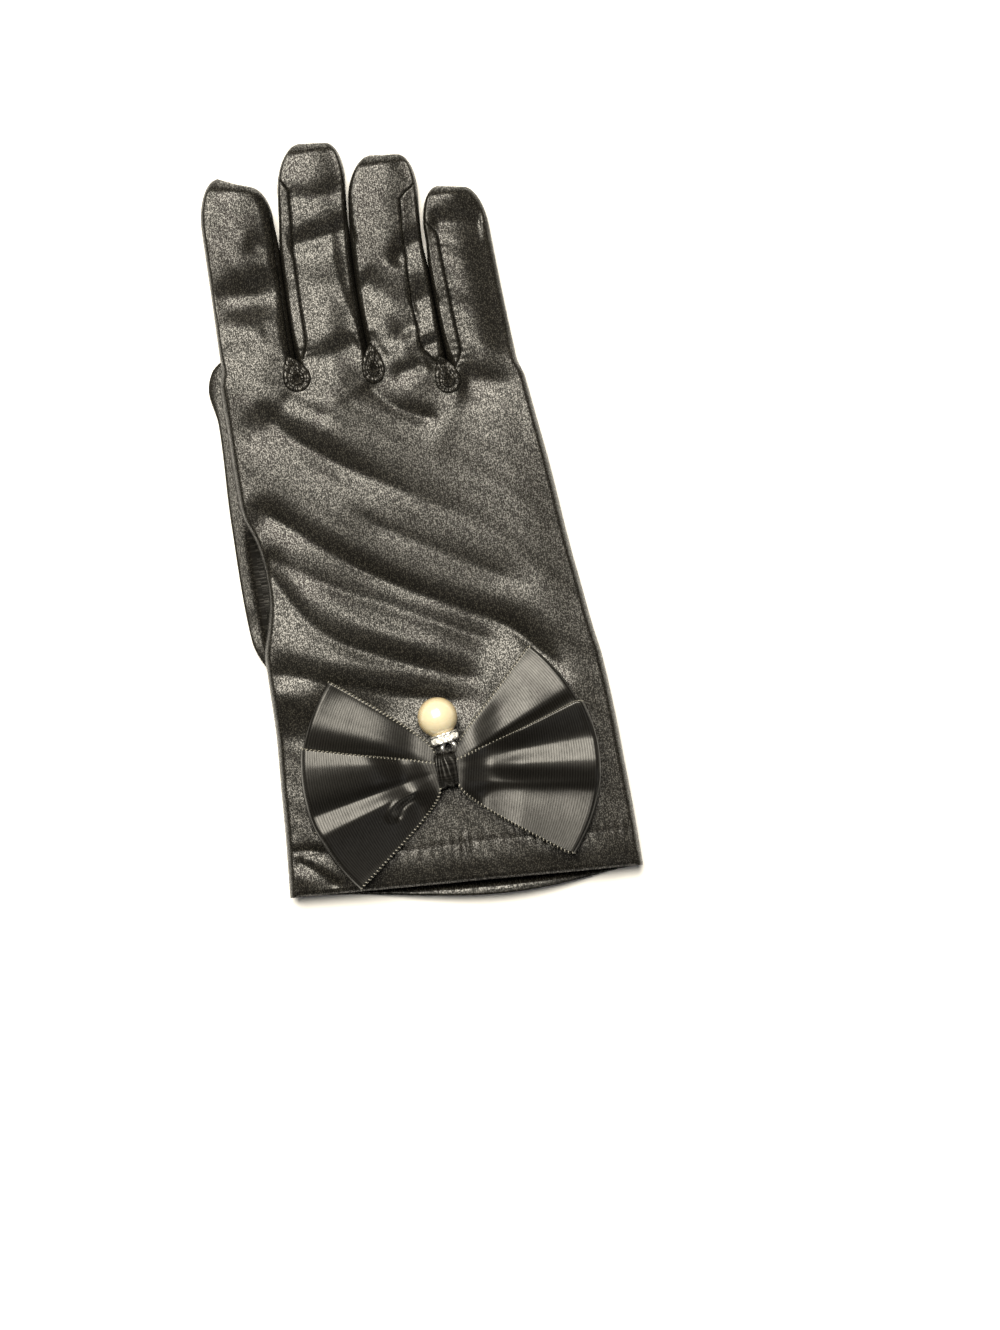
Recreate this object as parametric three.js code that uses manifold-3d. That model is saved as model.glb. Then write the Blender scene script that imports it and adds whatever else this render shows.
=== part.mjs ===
// A wrist-length dress glove of black satin knit, lying palm down with its thumb folded under the palm.
// A double ribbon bow is sewn over the cuff, and a pearl in a stone-set rondelle sits above its knot.
// Millimetres. X runs across the hand, Y from the hem to the fingertips, Z up from the table.
import * as THREE from "three";
import { mergeVertices } from "three/addons/utils/BufferGeometryUtils.js";
import Module from "manifold-3d";

const wasm = await Module();
wasm.setup();

// The hand
const handLength = 126; // from the hem to the finger roots
const palmWidth = 82;
const handThickness = 9.4;
const cloth = 1; // wall of the satin knit
const edgeHeight = 3.4; // height of the side fold above the table
const sideRounding = 8.5; // how far in from an edge the back of the hand becomes level
const underRounding = 4; // the same for the palm side
const hemSlope = 0.08; // the hem runs down towards the little finger
const lipLength = 3.8; // how far the palm side of the hem stands out past the back
const sewnGap = 0.3; // between two sewn pieces

// The fingers
const middleFingerLength = 58.5;
const fingerWidth = 17.6;
const fingerThickness = 9.2;
const tipRounding = 11; // length over which a fingertip narrows
const tipFlat = 0.36; // share of the finger's width that stays at its very end
const rootEase = 5; // length over which a finger narrows above its root
const fullnessEase = 0.2; // share of a finger over which its section becomes fuller

// The thumb
const thumbLength = 83;
const thumbWidth = 17;
const thumbThickness = 2.6;
const thumbRoot = 57; // height of the thumb's lower end above the hem
const thumbAcross = -33.2 / 82; // its middle line, as a share of palmWidth
const thumbRest = 0.3; // between the thumb and the palm that lies on it
const thumbMargin = 1.5; // how far past the thumb the cloth over it stays level
const thumbFall = 14; // width of the slope beside it
const thumbHoleLength = 24; // the oval hole between the thumb and the palm
const thumbHoleWidth = 7;
const thumbHoleRise = 7; // from the thumb's lower end to the hole
const thumbHoleInward = 3; // from the thumb's middle line towards the hand's

// The gussets between the fingers
const gussetEnd = 7; // how far a gusset stops short of each fingertip
const gussetFoot = 2.6; // radius of its round foot below the finger root
const gussetDrop = 2; // from the finger root down to the foot's middle
const seamEase = 1 / 6; // share of a finger over which a seam runs in to its full distance

// The bow
const ribbonWidth = 38;
const ribbon = 1; // wall of the ribbon
const loopReach = 37; // from the knot's middle to the fold of a loop
const foldBulge = 0.14; // share by which a loop's corners fall short of its middle
const frontTilt = -13; // degrees that the front loops point below level
const backTilt = 15.5;
const frontOpening = 4.6; // between the middles of a loop's two layers
const backOpening = 3;
const ribbonRest = 0.6; // between the bow and the hand
const knotHeight = 28.3; // of the knot's middle above the hem
const knotAcross = 0.9;
const knotWidth = 5.2;
const knotLength = 9.6;
const pinchWidth = 5.6; // of the ribbons inside the knot
const pleatRise = 1.1;
const knotEase = 8; // length over which the knot's hold on a ribbon fades
const foldInset = 2; // a loop's fold starts this far inside loopReach
const overlapEase = 9; // length over which the front ribbon comes down beside the back one

// The pearl and its setting
const pearlDiameter = 10;
const pearlAbove = 13.4; // from the knot's middle to the pearl's
const pearlLean = 9; // degrees
const rondelleDiameter = 7.6;
const rondelleThickness = 2.9;
const stoneCount = 12;
const stoneDiameter = 1.6;
const stoneHeight = 0.7;
const loopWire = 0.9;
const loopDiameter = 3.2;

// How finely the curved surfaces are divided
const bandColumns = 6;
const palmRows = 17;
const fingerRows = 7;

// The sides of the hand. along is a share of handLength, left and right are shares of palmWidth.
const handSides = [
  { along: 0, left: -0.529, right: 0.551 },
  { along: 0.12, left: -0.51, right: 0.552 },
  { along: 0.215, left: -0.498, right: 0.55 },
  { along: 0.32, left: -0.484, right: 0.547 },
  { along: 0.43, left: -0.478, right: 0.538 },
  { along: 0.478, left: -0.475, right: 0.528 },
  { along: 0.524, left: -0.454, right: 0.52 },
  { along: 0.58, left: -0.434, right: 0.512 },
  { along: 0.643, left: -0.432, right: 0.502 },
  { along: 0.7, left: -0.446, right: 0.495 },
  { along: 0.75, left: -0.47, right: 0.49 },
  { along: 0.83, left: -0.473, right: 0.481 },
  { along: 0.92, left: -0.47, right: 0.467 },
  { along: 1, left: -0.47, right: 0.455 },
];

// The line of the finger roots, from the index finger's outer side to the little finger's.
// across is the share of the way from left to right, along a share of handLength.
const roots = [
  { across: 0, along: 1.045 },
  { across: 0.27, along: 1.042 },
  { across: 0.503, along: 1.027 },
  { across: 0.757, along: 0.988 },
  { across: 1, along: 0.968 },
];

// length is a share of middleFingerLength, width of fingerWidth, and tip and bow of palmWidth.
// leftSeam and rightSeam say how far the gusset's seam shows inside each edge, as shares of fingerWidth.
const fingers = [
  { name: "index", length: 0.872, width: 1.034, tip: -0.327, bow: 0, leftSeam: 0, rightSeam: 0.04 },
  { name: "middle", length: 1, width: 0.977, tip: -0.068, bow: -0.02, leftSeam: 0.17, rightSeam: 0.04 },
  { name: "ring", length: 0.957, width: 1, tip: 0.141, bow: -0.022, leftSeam: 0.04, rightSeam: 0.26 },
  { name: "little", length: 0.838, width: 0.925, tip: 0.326, bow: -0.004, leftSeam: 0.17, rightSeam: 0 },
];

// The creases across the back of the hand. across is a share of palmWidth, along of handLength,
// sag a share of palmWidth by which the crease's middle lies below a straight line, and
// width and depth are shares of handThickness.
const creases = [
  { fromAcross: -0.34, fromAlong: 1.01, toAcross: 0.43, toAlong: 0.65, sag: 0.02, width: 0.45, depth: 0.13 },
  { fromAcross: -0.45, fromAlong: 0.86, toAcross: 0.44, toAlong: 0.4, sag: 0.015, width: 0.32, depth: 0.17 },
  { fromAcross: -0.45, fromAlong: 0.74, toAcross: 0.28, toAlong: 0.45, sag: 0.04, width: 0.3, depth: 0.09 },
  { fromAcross: -0.45, fromAlong: 0.7, toAcross: 0.21, toAlong: 0.4, sag: 0.07, width: 0.3, depth: 0.13 },
  { fromAcross: -0.46, fromAlong: 0.5, toAcross: 0.15, toAlong: 0.35, sag: 0.01, width: 0.36, depth: 0.11 },
];

// The thumb's outline. along is a share of thumbLength, width of thumbWidth and shift of thumbWidth.
const thumbOutline = [
  { along: 0, width: 0.4, shift: 0.06 },
  { along: 0.05, width: 0.78, shift: 0.04 },
  { along: 0.14, width: 1, shift: 0 },
  { along: 0.5, width: 1, shift: 0 },
  { along: 0.8, width: 0.92, shift: 0.03 },
  { along: 0.9, width: 0.98, shift: 0 },
  { along: 0.96, width: 0.78, shift: 0 },
  { along: 1, width: 0.4, shift: 0.02 },
];

// How far a loop's upper layer stands up or sinks across its width, as shares of pleatRise.
const pleats = [
  { across: -1, rise: -0.3 },
  { across: -0.55, rise: 0.5 },
  { across: -0.15, rise: -0.9 },
  { across: 0.2, rise: 0.9 },
  { across: 0.6, rise: -0.8 },
  { across: 1, rise: 0.1 },
];

const lerp = THREE.MathUtils.lerp;
const clamp01 = (t) => THREE.MathUtils.clamp(t, 0, 1);
const smooth = (t) => THREE.MathUtils.smoothstep(t, 0, 1);
const radians = THREE.MathUtils.degToRad;
const roundUp = (t) => Math.sqrt(1 - (1 - clamp01(t)) ** 2); // a quarter circle from 0 to 1

// A smooth curve through a table's rows: the value of key where the column `by` has reached `at`.
function tableValue(rows, by, at, key) {
  const last = rows.length - 1;
  let i = 0;
  while (i < last - 1 && rows[i + 1][by] < at) i += 1;
  const before = rows[Math.max(i - 1, 0)];
  const a = rows[i];
  const b = rows[i + 1];
  const after = rows[Math.min(i + 2, last)];
  const step = b[by] - a[by];
  const t = clamp01((at - a[by]) / step);
  const slopeA = ((b[key] - before[key]) / (b[by] - before[by])) * step;
  const slopeB = ((after[key] - a[key]) / (after[by] - a[by])) * step;
  const t2 = t * t;
  const t3 = t2 * t;
  return (2 * t3 - 3 * t2 + 1) * a[key] + (t3 - 2 * t2 + t) * slopeA
    + (3 * t2 - 2 * t3) * b[key] + (t3 - t2) * slopeB;
}

// Solids

function toManifold(geometry) {
  const bare = geometry.clone();
  bare.deleteAttribute("normal");
  bare.deleteAttribute("uv");
  const merged = mergeVertices(bare, 1e-3);
  return new wasm.Manifold(
    new wasm.Mesh({
      numProp: 3,
      vertProperties: merged.attributes.position.array,
      triVerts: new Uint32Array(merged.index.array),
    }),
  );
}

function toGeometry(solid) {
  const mesh = solid.getMesh();
  const geometry = new THREE.BufferGeometry();
  geometry.setAttribute("position", new THREE.Float32BufferAttribute(mesh.vertProperties, 3));
  geometry.setIndex(new THREE.Uint32BufferAttribute(mesh.triVerts, 1));
  geometry.computeVertexNormals();
  return geometry;
}

// Collects quads given by four points, anticlockwise seen from outside, and closes them into a solid.
class Skin {
  constructor() {
    this.corners = [];
  }

  triangle(a, b, c) {
    const shortest = Math.min(a.distanceTo(b), b.distanceTo(c), c.distanceTo(a));
    if (shortest > 1e-3) this.corners.push(a, b, c);
  }

  quad(a, b, c, d) {
    this.triangle(a, b, c);
    this.triangle(a, c, d);
  }

  // point(i, j) on a grid; outward is seen with i to the right and j up, unless turned.
  grid(columns, rows, point, turned = false) {
    for (let i = 0; i < columns; i += 1) {
      for (let j = 0; j < rows; j += 1) {
        const ring = [point(i, j), point(i + 1, j), point(i + 1, j + 1), point(i, j + 1)];
        if (turned) ring.reverse();
        this.quad(...ring);
      }
    }
  }

  solid() {
    const geometry = new THREE.BufferGeometry().setFromPoints(this.corners);
    return toManifold(geometry);
  }
}

// The thumb lies under the palm and lifts it

const thumbX = thumbAcross * palmWidth;

function thumbHalfWidth(along) {
  return (tableValue(thumbOutline, "along", along, "width") * thumbWidth) / 2;
}

function thumbMiddle(along) {
  return thumbX + tableValue(thumbOutline, "along", along, "shift") * thumbWidth;
}

// How far the cloth at (x, y) is lifted: fully over the thumb, and then down a smooth slope.
function lift(x, y) {
  const end = thumbWidth / 2;
  const nearestY = THREE.MathUtils.clamp(y, thumbRoot + end, thumbRoot + thumbLength - end);
  const right = Math.max(x - thumbX, 0);
  const past = Math.hypot(right, y - nearestY) - end - thumbMargin;
  return (thumbThickness + thumbRest) * (1 - smooth(past / thumbFall));
}

// The hand and its fingers, as a surface of four bands that part at the finger roots

const handLeft = (share) => tableValue(handSides, "along", share, "left") * palmWidth;
const handRight = (share) => tableValue(handSides, "along", share, "right") * palmWidth;

// The corner points of the finger roots. The inner surface lies `inset` inside the outer one.
function rootPoint(k, inset) {
  const left = handLeft(1) + inset;
  const right = handRight(1) - inset;
  const outer = lerp(handLeft(1), handRight(1), roots[k].across);
  const x = k === 0 ? left : k === roots.length - 1 ? right : outer;
  return { x, y: roots[k].along * handLength - 1.5 * inset };
}

// The hem at a share across the hand, on the back of the hand or on the palm side.
function hemY(across, onBack) {
  const x = lerp(handLeft(0), handRight(0), across);
  const lip = onBack ? 0 : lipLength * Math.sin(Math.PI * across ** 1.3) ** 1.5;
  return -hemSlope * x - lip;
}

function creaseDepth(x, y) {
  let depth = 0;
  for (const c of creases) {
    const x0 = c.fromAcross * palmWidth;
    const y0 = c.fromAlong * handLength;
    const dx = c.toAcross * palmWidth - x0;
    const dy = c.toAlong * handLength - y0;
    const run = Math.hypot(dx, dy);
    const t = ((x - x0) * dx + (y - y0) * dy) / run ** 2;
    const sag = c.sag * palmWidth * 4 * t * (1 - t);
    const off = ((y - y0) * dx - (x - x0) * dy) / run + sag;
    const fade = smooth(t * 5) * smooth((1 - t) * 4);
    depth += c.depth * handThickness * fade * Math.exp(-((off / (c.width * handThickness)) ** 2));
  }
  return depth;
}

// The height of the cloth. edge is the distance to the nearest edge, tip a factor for a fingertip.
function clothHeight(x, y, edge, thickness, tip, onBack, inset) {
  const raised = lift(x, y);
  if (!onBack) {
    const down = roundUp(edge / (underRounding - inset)) * tip;
    return raised + edgeHeight - (edgeHeight - inset) * down;
  }
  const up = roundUp(edge / (sideRounding - inset)) * tip;
  return raised + edgeHeight + (thickness - edgeHeight - inset) * up - creaseDepth(x, y) * up * up;
}

const palmShare = (row) => 1 - (1 - row / palmRows) ** 1.35;

// A point of the palm: band and a (from -1 to 1) give its place across, share its place along.
function palmPoint(band, a, share, onBack, inset) {
  const left = handLeft(share) + inset;
  const right = handRight(share) - inset;
  const from = rootPoint(band, inset);
  const to = rootPoint(band + 1, inset);
  const rootLeft = rootPoint(0, inset).x;
  const rootRight = rootPoint(roots.length - 1, inset).x;
  const across = (lerp(from.x, to.x, (a + 1) / 2) - rootLeft) / (rootRight - rootLeft);
  const x = lerp(left, right, across);
  const rootY = lerp(from.y, to.y, (a + 1) / 2);
  const y = lerp(hemY(across, onBack), rootY, share);
  let edge = Math.min(x - left, right - x);
  for (let k = 1; k < roots.length - 1; k += 1) {
    edge = Math.min(edge, Math.hypot(x - rootPoint(k, inset).x, rootY - y));
  }
  return new THREE.Vector3(x, y, clothHeight(x, y, edge, handThickness, 1, onBack, inset));
}

function fingerTip(band, inset) {
  const finger = fingers[band];
  const base = (roots[band].along + roots[band + 1].along) * 0.5 * handLength;
  return base + finger.length * middleFingerLength - inset;
}

// A finger's middle line and half width at share s of the way from its root to its tip.
function fingerSection(band, s, inset) {
  const finger = fingers[band];
  const from = rootPoint(band, inset);
  const to = rootPoint(band + 1, inset);
  const length = fingerTip(band, inset) - (from.y + to.y) / 2;
  const fromTip = (1 - s) * length;
  const full = (finger.width * fingerWidth) / 2 - inset;
  const ease = smooth((s * length) / rootEase);
  const narrowing = tipFlat + (1 - tipFlat) * roundUp(fromTip / tipRounding);
  return {
    middle: lerp((from.x + to.x) / 2, finger.tip * palmWidth, s) + finger.bow * palmWidth * 4 * s * (1 - s),
    half: lerp((to.x - from.x) / 2, full, ease) * narrowing,
    fromTip,
  };
}

function fingerPoint(band, a, s, onBack, inset) {
  const from = rootPoint(band, inset);
  const to = rootPoint(band + 1, inset);
  const section = fingerSection(band, s, inset);
  const x = section.middle + a * section.half;
  const y = lerp(lerp(from.y, to.y, (a + 1) / 2), fingerTip(band, inset), s);
  const thickness = lerp(handThickness, fingerThickness, smooth(s * 2));
  const tip = roundUp(section.fromTip / (tipRounding * 0.7));
  const fuller = lerp(1, Math.max(1, sideRounding / section.half), smooth(s / fullnessEase));
  const edge = section.half * (1 - Math.abs(a)) * fuller;
  return new THREE.Vector3(x, y, clothHeight(x, y, edge, thickness, tip, onBack, inset));
}

const columnShare = (j) => Math.sin((Math.PI / 2) * ((2 * j) / bandColumns - 1));
const fingerShare = (row) => {
  const t = row / fingerRows;
  return Math.sin((Math.PI / 2) * t) * 0.6 + t * 0.4;
};

function addHandSurface(skin, inset, turned) {
  for (let band = 0; band < fingers.length; band += 1) {
    for (const onBack of [true, false]) {
      const flip = onBack === turned;
      const palm = (j, row) => palmPoint(band, columnShare(j), palmShare(row), onBack, inset);
      const finger = (j, row) => fingerPoint(band, columnShare(j), fingerShare(row), onBack, inset);
      skin.grid(bandColumns, palmRows, palm, flip);
      skin.grid(bandColumns, fingerRows, finger, flip);
    }
  }
}

// The rim of the hem joins the outer surface to the inner one.
function addHemRim(skin) {
  for (let band = 0; band < fingers.length; band += 1) {
    const rim = (onBack) => (j, layer) => palmPoint(band, columnShare(j), 0, onBack, layer ? cloth : 0);
    skin.grid(bandColumns, 1, rim(true), true);
    skin.grid(bandColumns, 1, rim(false), false);
  }
}

function makeHandShell() {
  const skin = new Skin();
  addHandSurface(skin, 0, false);
  addHandSurface(skin, cloth, true);
  addHemRim(skin);
  return skin.solid();
}

// The height of the back of the hand at any point of the cuff or palm.
function backHeight(x, y) {
  const hem = -hemSlope * x;
  const share = clamp01((y - hem) / (handLength - hem));
  const edge = Math.min(x - handLeft(share), handRight(share) - x);
  return clothHeight(x, y, Math.max(edge, 0), handThickness, 1, true, 0);
}

// The thumb, a flat pocket with a hole in its upper side that opens into the hand

function thumbPoint(a, along, above, inset) {
  const at = lerp(inset / thumbLength, 1 - inset / thumbLength, along);
  const half = thumbHalfWidth(at) - inset;
  const edge = roundUp((half * (1 - Math.abs(a))) / (thumbThickness - inset));
  const end = roundUp(Math.min(along, 1 - along) * (thumbLength / thumbThickness));
  const middle = thumbThickness / 2;
  const height = (middle - inset) * edge * end;
  const y = thumbRoot + at * thumbLength;
  return new THREE.Vector3(thumbMiddle(at) + a * half, y, middle + (above ? height : -height));
}

function makeThumb() {
  const skin = new Skin();
  const rows = 11;
  const along = (row) => (1 - Math.cos((Math.PI * row) / rows)) / 2;
  for (const inset of [0, cloth]) {
    for (const above of [true, false]) {
      const flip = above === (inset > 0);
      skin.grid(bandColumns, rows, (j, row) => thumbPoint(columnShare(j), along(row), above, inset), flip);
    }
  }
  return skin.solid();
}

function thumbHoleCutter() {
  const bottom = thumbThickness / 2;
  const top = thumbThickness + thumbRest + cloth + 0.45 * edgeHeight;
  const shaft = new THREE.CylinderGeometry(0.5, 0.5, 1, 20);
  shaft.rotateX(Math.PI / 2);
  shaft.scale(thumbHoleWidth, thumbHoleLength, top - bottom);
  const y = thumbRoot + thumbHoleRise + thumbHoleLength / 2;
  shaft.translate(thumbX + thumbHoleInward, y, (top + bottom) / 2);
  return toManifold(shaft);
}

// The gussets: a forked strip lines the sides of two neighbouring fingers and ends in a round foot

// The outline from above of the gusset at root k.
function gussetPlan(k) {
  const steps = 7;
  const side = (band, sign, seam) => {
    const stop = 1 - gussetEnd / (fingers[band].length * middleFingerLength);
    const points = [];
    for (let n = 0; n <= steps; n += 1) {
      const s = (stop * n) / steps;
      const section = fingerSection(band, s, 0);
      const y = lerp(rootPoint(k, 0).y, fingerTip(band, 0), s);
      const inside = Math.min(seam * fingerWidth * smooth(s / seamEase), section.half);
      points.push([section.middle + sign * (section.half - inside), y]);
    }
    return points;
  };
  const left = side(k - 1, 1, fingers[k - 1].rightSeam);
  const right = side(k, -1, fingers[k].leftSeam);
  const root = rootPoint(k, 0);
  const foot = [];
  for (let n = 0; n <= steps; n += 1) {
    const angle = radians(150 + 240 * (n / steps));
    const y = root.y - gussetDrop + gussetFoot * Math.sin(angle);
    foot.push([root.x + gussetFoot * Math.cos(angle), y]);
  }
  return [...left.slice(1).reverse(), ...foot, ...right.slice(1)];
}

// The gusset's outline as an upright prism through the whole hand, drawn `grow` larger all round.
function gussetPrism(k, grow) {
  const height = 3 * (handThickness + thumbThickness);
  const plan = new wasm.CrossSection(gussetPlan(k)).offset(grow, "Round", 2, 24);
  return plan.extrude(height).translate(0, 0, -height / 3);
}

// The bow: two ribbons, each a flat closed band with a loop on either side of the knot

const back = { tilt: backTilt, opening: backOpening };
const front = { tilt: frontTilt, opening: frontOpening };
const knot = { x: knotAcross, y: knotHeight };
const layerStep = ribbon + sewnGap; // between the middles of two layers inside the knot

// The share of the knot's hold on a ribbon at distance r from its middle.
const knotHold = (r) => 1 - smooth((Math.abs(r) - knotWidth / 2 - ribbon) / knotEase);

// Opening between a loop's two layers: closed in the knot, widest before the fold.
function opening(ribbonLoop, r) {
  const t = clamp01((Math.abs(r) - knotWidth / 2 - 0.5) / (loopReach * 0.45));
  return lerp(layerStep, ribbonLoop.opening, smooth(t));
}

function ribbonHalf(r) {
  const t = clamp01((Math.abs(r) - knotWidth / 2) / (loopReach - knotWidth / 2));
  return lerp(pinchWidth / 2, ribbonWidth / 2, t);
}

// Plan position of the ribbon point at r along its middle line and v across, from -1 to 1.
function ribbonPlan(ribbonLoop, r, v) {
  const turn = smooth((r / knotWidth + 1) / 2) * 2 - 1; // from -1 on the left to 1 on the right
  const tilt = radians(ribbonLoop.tilt) * turn;
  const along = r * (1 - foldBulge * v * v * smooth((Math.abs(r) - knotWidth) / loopReach));
  const t = v * ribbonHalf(r);
  return {
    x: knot.x + along * Math.cos(tilt) - t * Math.sin(tilt),
    y: knot.y + along * Math.sin(tilt) + t * Math.cos(tilt),
  };
}

const pleatHeight = (v, r) => {
  const span = clamp01((Math.abs(r) - knotWidth / 2) / (loopReach - knotWidth / 2));
  return tableValue(pleats, "across", v, "rise") * pleatRise * Math.sin(Math.PI * span ** 0.8);
};

// The knot's ribbon passes under the bow, so its underside rests on the highest cloth below it.
function knotRest() {
  let highest = 0;
  for (const across of [-1, 0, 1]) {
    for (const along of [-1, -0.5, 0, 0.5, 1]) {
      const y = knot.y + (along * knotLength) / 2;
      highest = Math.max(highest, backHeight(knot.x + (across * knotWidth) / 2, y));
    }
  }
  return highest + sewnGap;
}

const knotFloor = knotRest() + ribbon + sewnGap; // underside of the lowest layer inside the knot
const handSeat = (x, y) => backHeight(x, y) + ribbonRest;

// Underside of the back ribbon at (x, y), which lies r along it.
const backFloor = (x, y, r) => lerp(handSeat(x, y), knotFloor, knotHold(r));

// Underside of the front ribbon: on the back ribbon where that lies below it, and else on the hand.
function frontFloor(x, y, r) {
  const tilt = radians(backTilt) * (x < knot.x ? -1 : 1);
  const dx = x - knot.x;
  const dy = y - knot.y;
  const s = dx * Math.cos(tilt) + dy * Math.sin(tilt);
  const t = dy * Math.cos(tilt) - dx * Math.sin(tilt);
  const past = Math.max(Math.abs(t) - ribbonHalf(s), Math.abs(s) - loopReach, 0);
  const under = 1 - smooth((past - 1.5 * ribbon) / overlapEase);
  const pleat = 0.5 * pleatRise * clamp01(Math.abs(s) / (1.5 * knotEase));
  const backTop = backFloor(x, y, s) + opening(back, s) + ribbon + sewnGap + pleat;
  return lerp(lerp(handSeat(x, y), backTop, under), knotFloor + 2 * layerStep, knotHold(r));
}

// A closed line of {r, part}: part runs from 0 on the lower layer to 1 on the upper one.
function ribbonLine() {
  const steps = 11;
  const foldSteps = 4;
  const line = [];
  const reach = loopReach - foldInset;
  for (let n = 0; n <= steps; n += 1) line.push({ r: lerp(-reach, reach, n / steps), part: 0, out: 0 });
  for (let n = 1; n < foldSteps; n += 1) {
    const angle = (Math.PI * n) / foldSteps;
    line.push({ r: reach, part: (1 - Math.cos(angle)) / 2, out: Math.sin(angle) });
  }
  for (let n = 0; n <= steps; n += 1) line.push({ r: lerp(reach, -reach, n / steps), part: 1, out: 0 });
  for (let n = 1; n < foldSteps; n += 1) {
    const angle = (Math.PI * n) / foldSteps;
    line.push({ r: -reach, part: (1 + Math.cos(angle)) / 2, out: -Math.sin(angle) });
  }
  return line;
}

function makeRibbon(ribbonLoop, underside, pleatShare) {
  const line = ribbonLine();
  const columns = 8;
  const middle = (n, j) => {
    const at = line[(n + line.length) % line.length];
    const v = (2 * j) / columns - 1;
    const gap = opening(ribbonLoop, at.r);
    const plan = ribbonPlan(ribbonLoop, at.r + (at.out * gap) / 2, v);
    const anchor = ribbonPlan(ribbonLoop, at.r, v);
    const floor = underside(anchor.x, anchor.y, at.r) + ribbon / 2;
    const pleat = at.part * pleatHeight(v, at.r) * pleatShare;
    return new THREE.Vector3(plan.x, plan.y, floor + at.part * gap + pleat);
  };
  // Half the ribbon's wall to one side of its middle surface.
  const face = (n, j, side) => {
    const p = middle(n, j);
    const around = middle(n + 1, j).sub(middle(n - 1, j));
    const across = middle(n, Math.min(j + 1, columns)).sub(middle(n, Math.max(j - 1, 0)));
    const normal = around.cross(across).normalize();
    return p.addScaledVector(normal, (side * ribbon) / 2);
  };
  const skin = new Skin();
  skin.grid(line.length, columns, (n, j) => face(n, j, 1));
  skin.grid(line.length, columns, (n, j) => face(n, j, -1), true);
  skin.grid(line.length, 1, (n, j) => face(n, 0, j ? 1 : -1));
  skin.grid(line.length, 1, (n, j) => face(n, columns, j ? 1 : -1), true);
  return skin.solid();
}

// The knot's ribbon: a rounded ring round all four layers.
const knotInside = 4 * ribbon + 5 * sewnGap;

function roundedBox(width, height, radius, path) {
  const w = width / 2;
  const h = height / 2;
  path.moveTo(-w + radius, -h);
  path.lineTo(w - radius, -h);
  path.absarc(w - radius, -h + radius, radius, -Math.PI / 2, 0);
  path.lineTo(w, h - radius);
  path.absarc(w - radius, h - radius, radius, 0, Math.PI / 2);
  path.lineTo(-w + radius, h);
  path.absarc(-w + radius, h - radius, radius, Math.PI / 2, Math.PI);
  path.lineTo(-w, -h + radius);
  path.absarc(-w + radius, -h + radius, radius, Math.PI, 1.5 * Math.PI);
  path.closePath();
  return path;
}

function makeKnot() {
  const outer = roundedBox(knotLength, knotInside + 2 * ribbon, 2, new THREE.Shape());
  outer.holes.push(roundedBox(knotLength - 2 * ribbon, knotInside, 0.5, new THREE.Path()));
  const band = new THREE.ExtrudeGeometry(outer, { depth: knotWidth, bevelEnabled: false, curveSegments: 3 });
  band.translate(0, 0, -knotWidth / 2);
  band.rotateX(Math.PI / 2);
  band.rotateZ(Math.PI / 2);
  return band;
}

// The pearl and its rondelle, built with the pearl at the origin and the knot towards +Y

function makeRondelle() {
  const ball = pearlDiameter / 2 + sewnGap;
  const radius = rondelleDiameter / 2;
  const cupRadius = radius - 0.6;
  const cup = Math.sqrt(ball ** 2 - cupRadius ** 2);
  const near = Math.sqrt(Math.max(ball ** 2 - radius ** 2, 0)) + 0.5;
  const far = cup + rondelleThickness;
  const profile = [
    new THREE.Vector2(0, ball),
    new THREE.Vector2(cupRadius * 0.6, Math.sqrt(ball ** 2 - (cupRadius * 0.6) ** 2)),
    new THREE.Vector2(cupRadius, cup),
    new THREE.Vector2(radius, near),
    new THREE.Vector2(radius - 0.5, near + 0.5),
    new THREE.Vector2(radius - 0.5, far - 0.5),
    new THREE.Vector2(radius, far - 0.3),
    new THREE.Vector2(radius - 0.6, far),
    new THREE.Vector2(0, far),
  ];
  let solid = toManifold(new THREE.LatheGeometry(profile, 16));
  if (solid.volume() < 0) throw new Error("the rondelle's profile runs the wrong way round");
  const middle = (near + far) / 2;
  for (let n = 0; n < stoneCount; n += 1) {
    const stone = new THREE.CylinderGeometry(stoneDiameter * 0.3, stoneDiameter / 2, stoneHeight, 8);
    stone.rotateX(Math.PI / 2);
    stone.translate(0, middle, radius - 0.5 + stoneHeight * 0.35);
    stone.rotateY((2 * Math.PI * n) / stoneCount);
    solid = solid.add(toManifold(stone));
  }
  return { solid, far };
}

// The wire loop that is sewn to the knot, lying flat with its far side at `end`.
function wireLoop(end) {
  const loop = new THREE.TorusGeometry((loopDiameter - loopWire) / 2, loopWire / 2, 6, 16);
  loop.translate(0, end - loopDiameter / 2, 0);
  return toManifold(loop);
}

// Assembly

const satin = { color: 0x24221e, roughness: 0.42, metalness: 0 };
const ribbonSatin = { color: 0x2c2b27, roughness: 0.36, metalness: 0 };
const nacre = { color: 0xf0e2c0, roughness: 0.22, metalness: 0 };
const silver = { color: 0xdcdad4, roughness: 0.2, metalness: 0.9 };

const glove = new THREE.Group();
function addPiece(name, geometry, look) {
  const mesh = new THREE.Mesh(geometry, new THREE.MeshStandardMaterial(look));
  mesh.name = name;
  glove.add(mesh);
  return mesh;
}

const shell = makeHandShell();
const hole = thumbHoleCutter();
let hand = shell.subtract(hole);
for (let k = 1; k < fingers.length; k += 1) {
  hand = hand.subtract(gussetPrism(k, sewnGap));
  const gusset = shell.intersect(gussetPrism(k, 0));
  addPiece(`gusset_${fingers[k - 1].name}_${fingers[k].name}`, toGeometry(gusset), satin);
}
addPiece("hand", toGeometry(hand), satin);
addPiece("thumb", toGeometry(makeThumb().subtract(hole)), satin);

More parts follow.
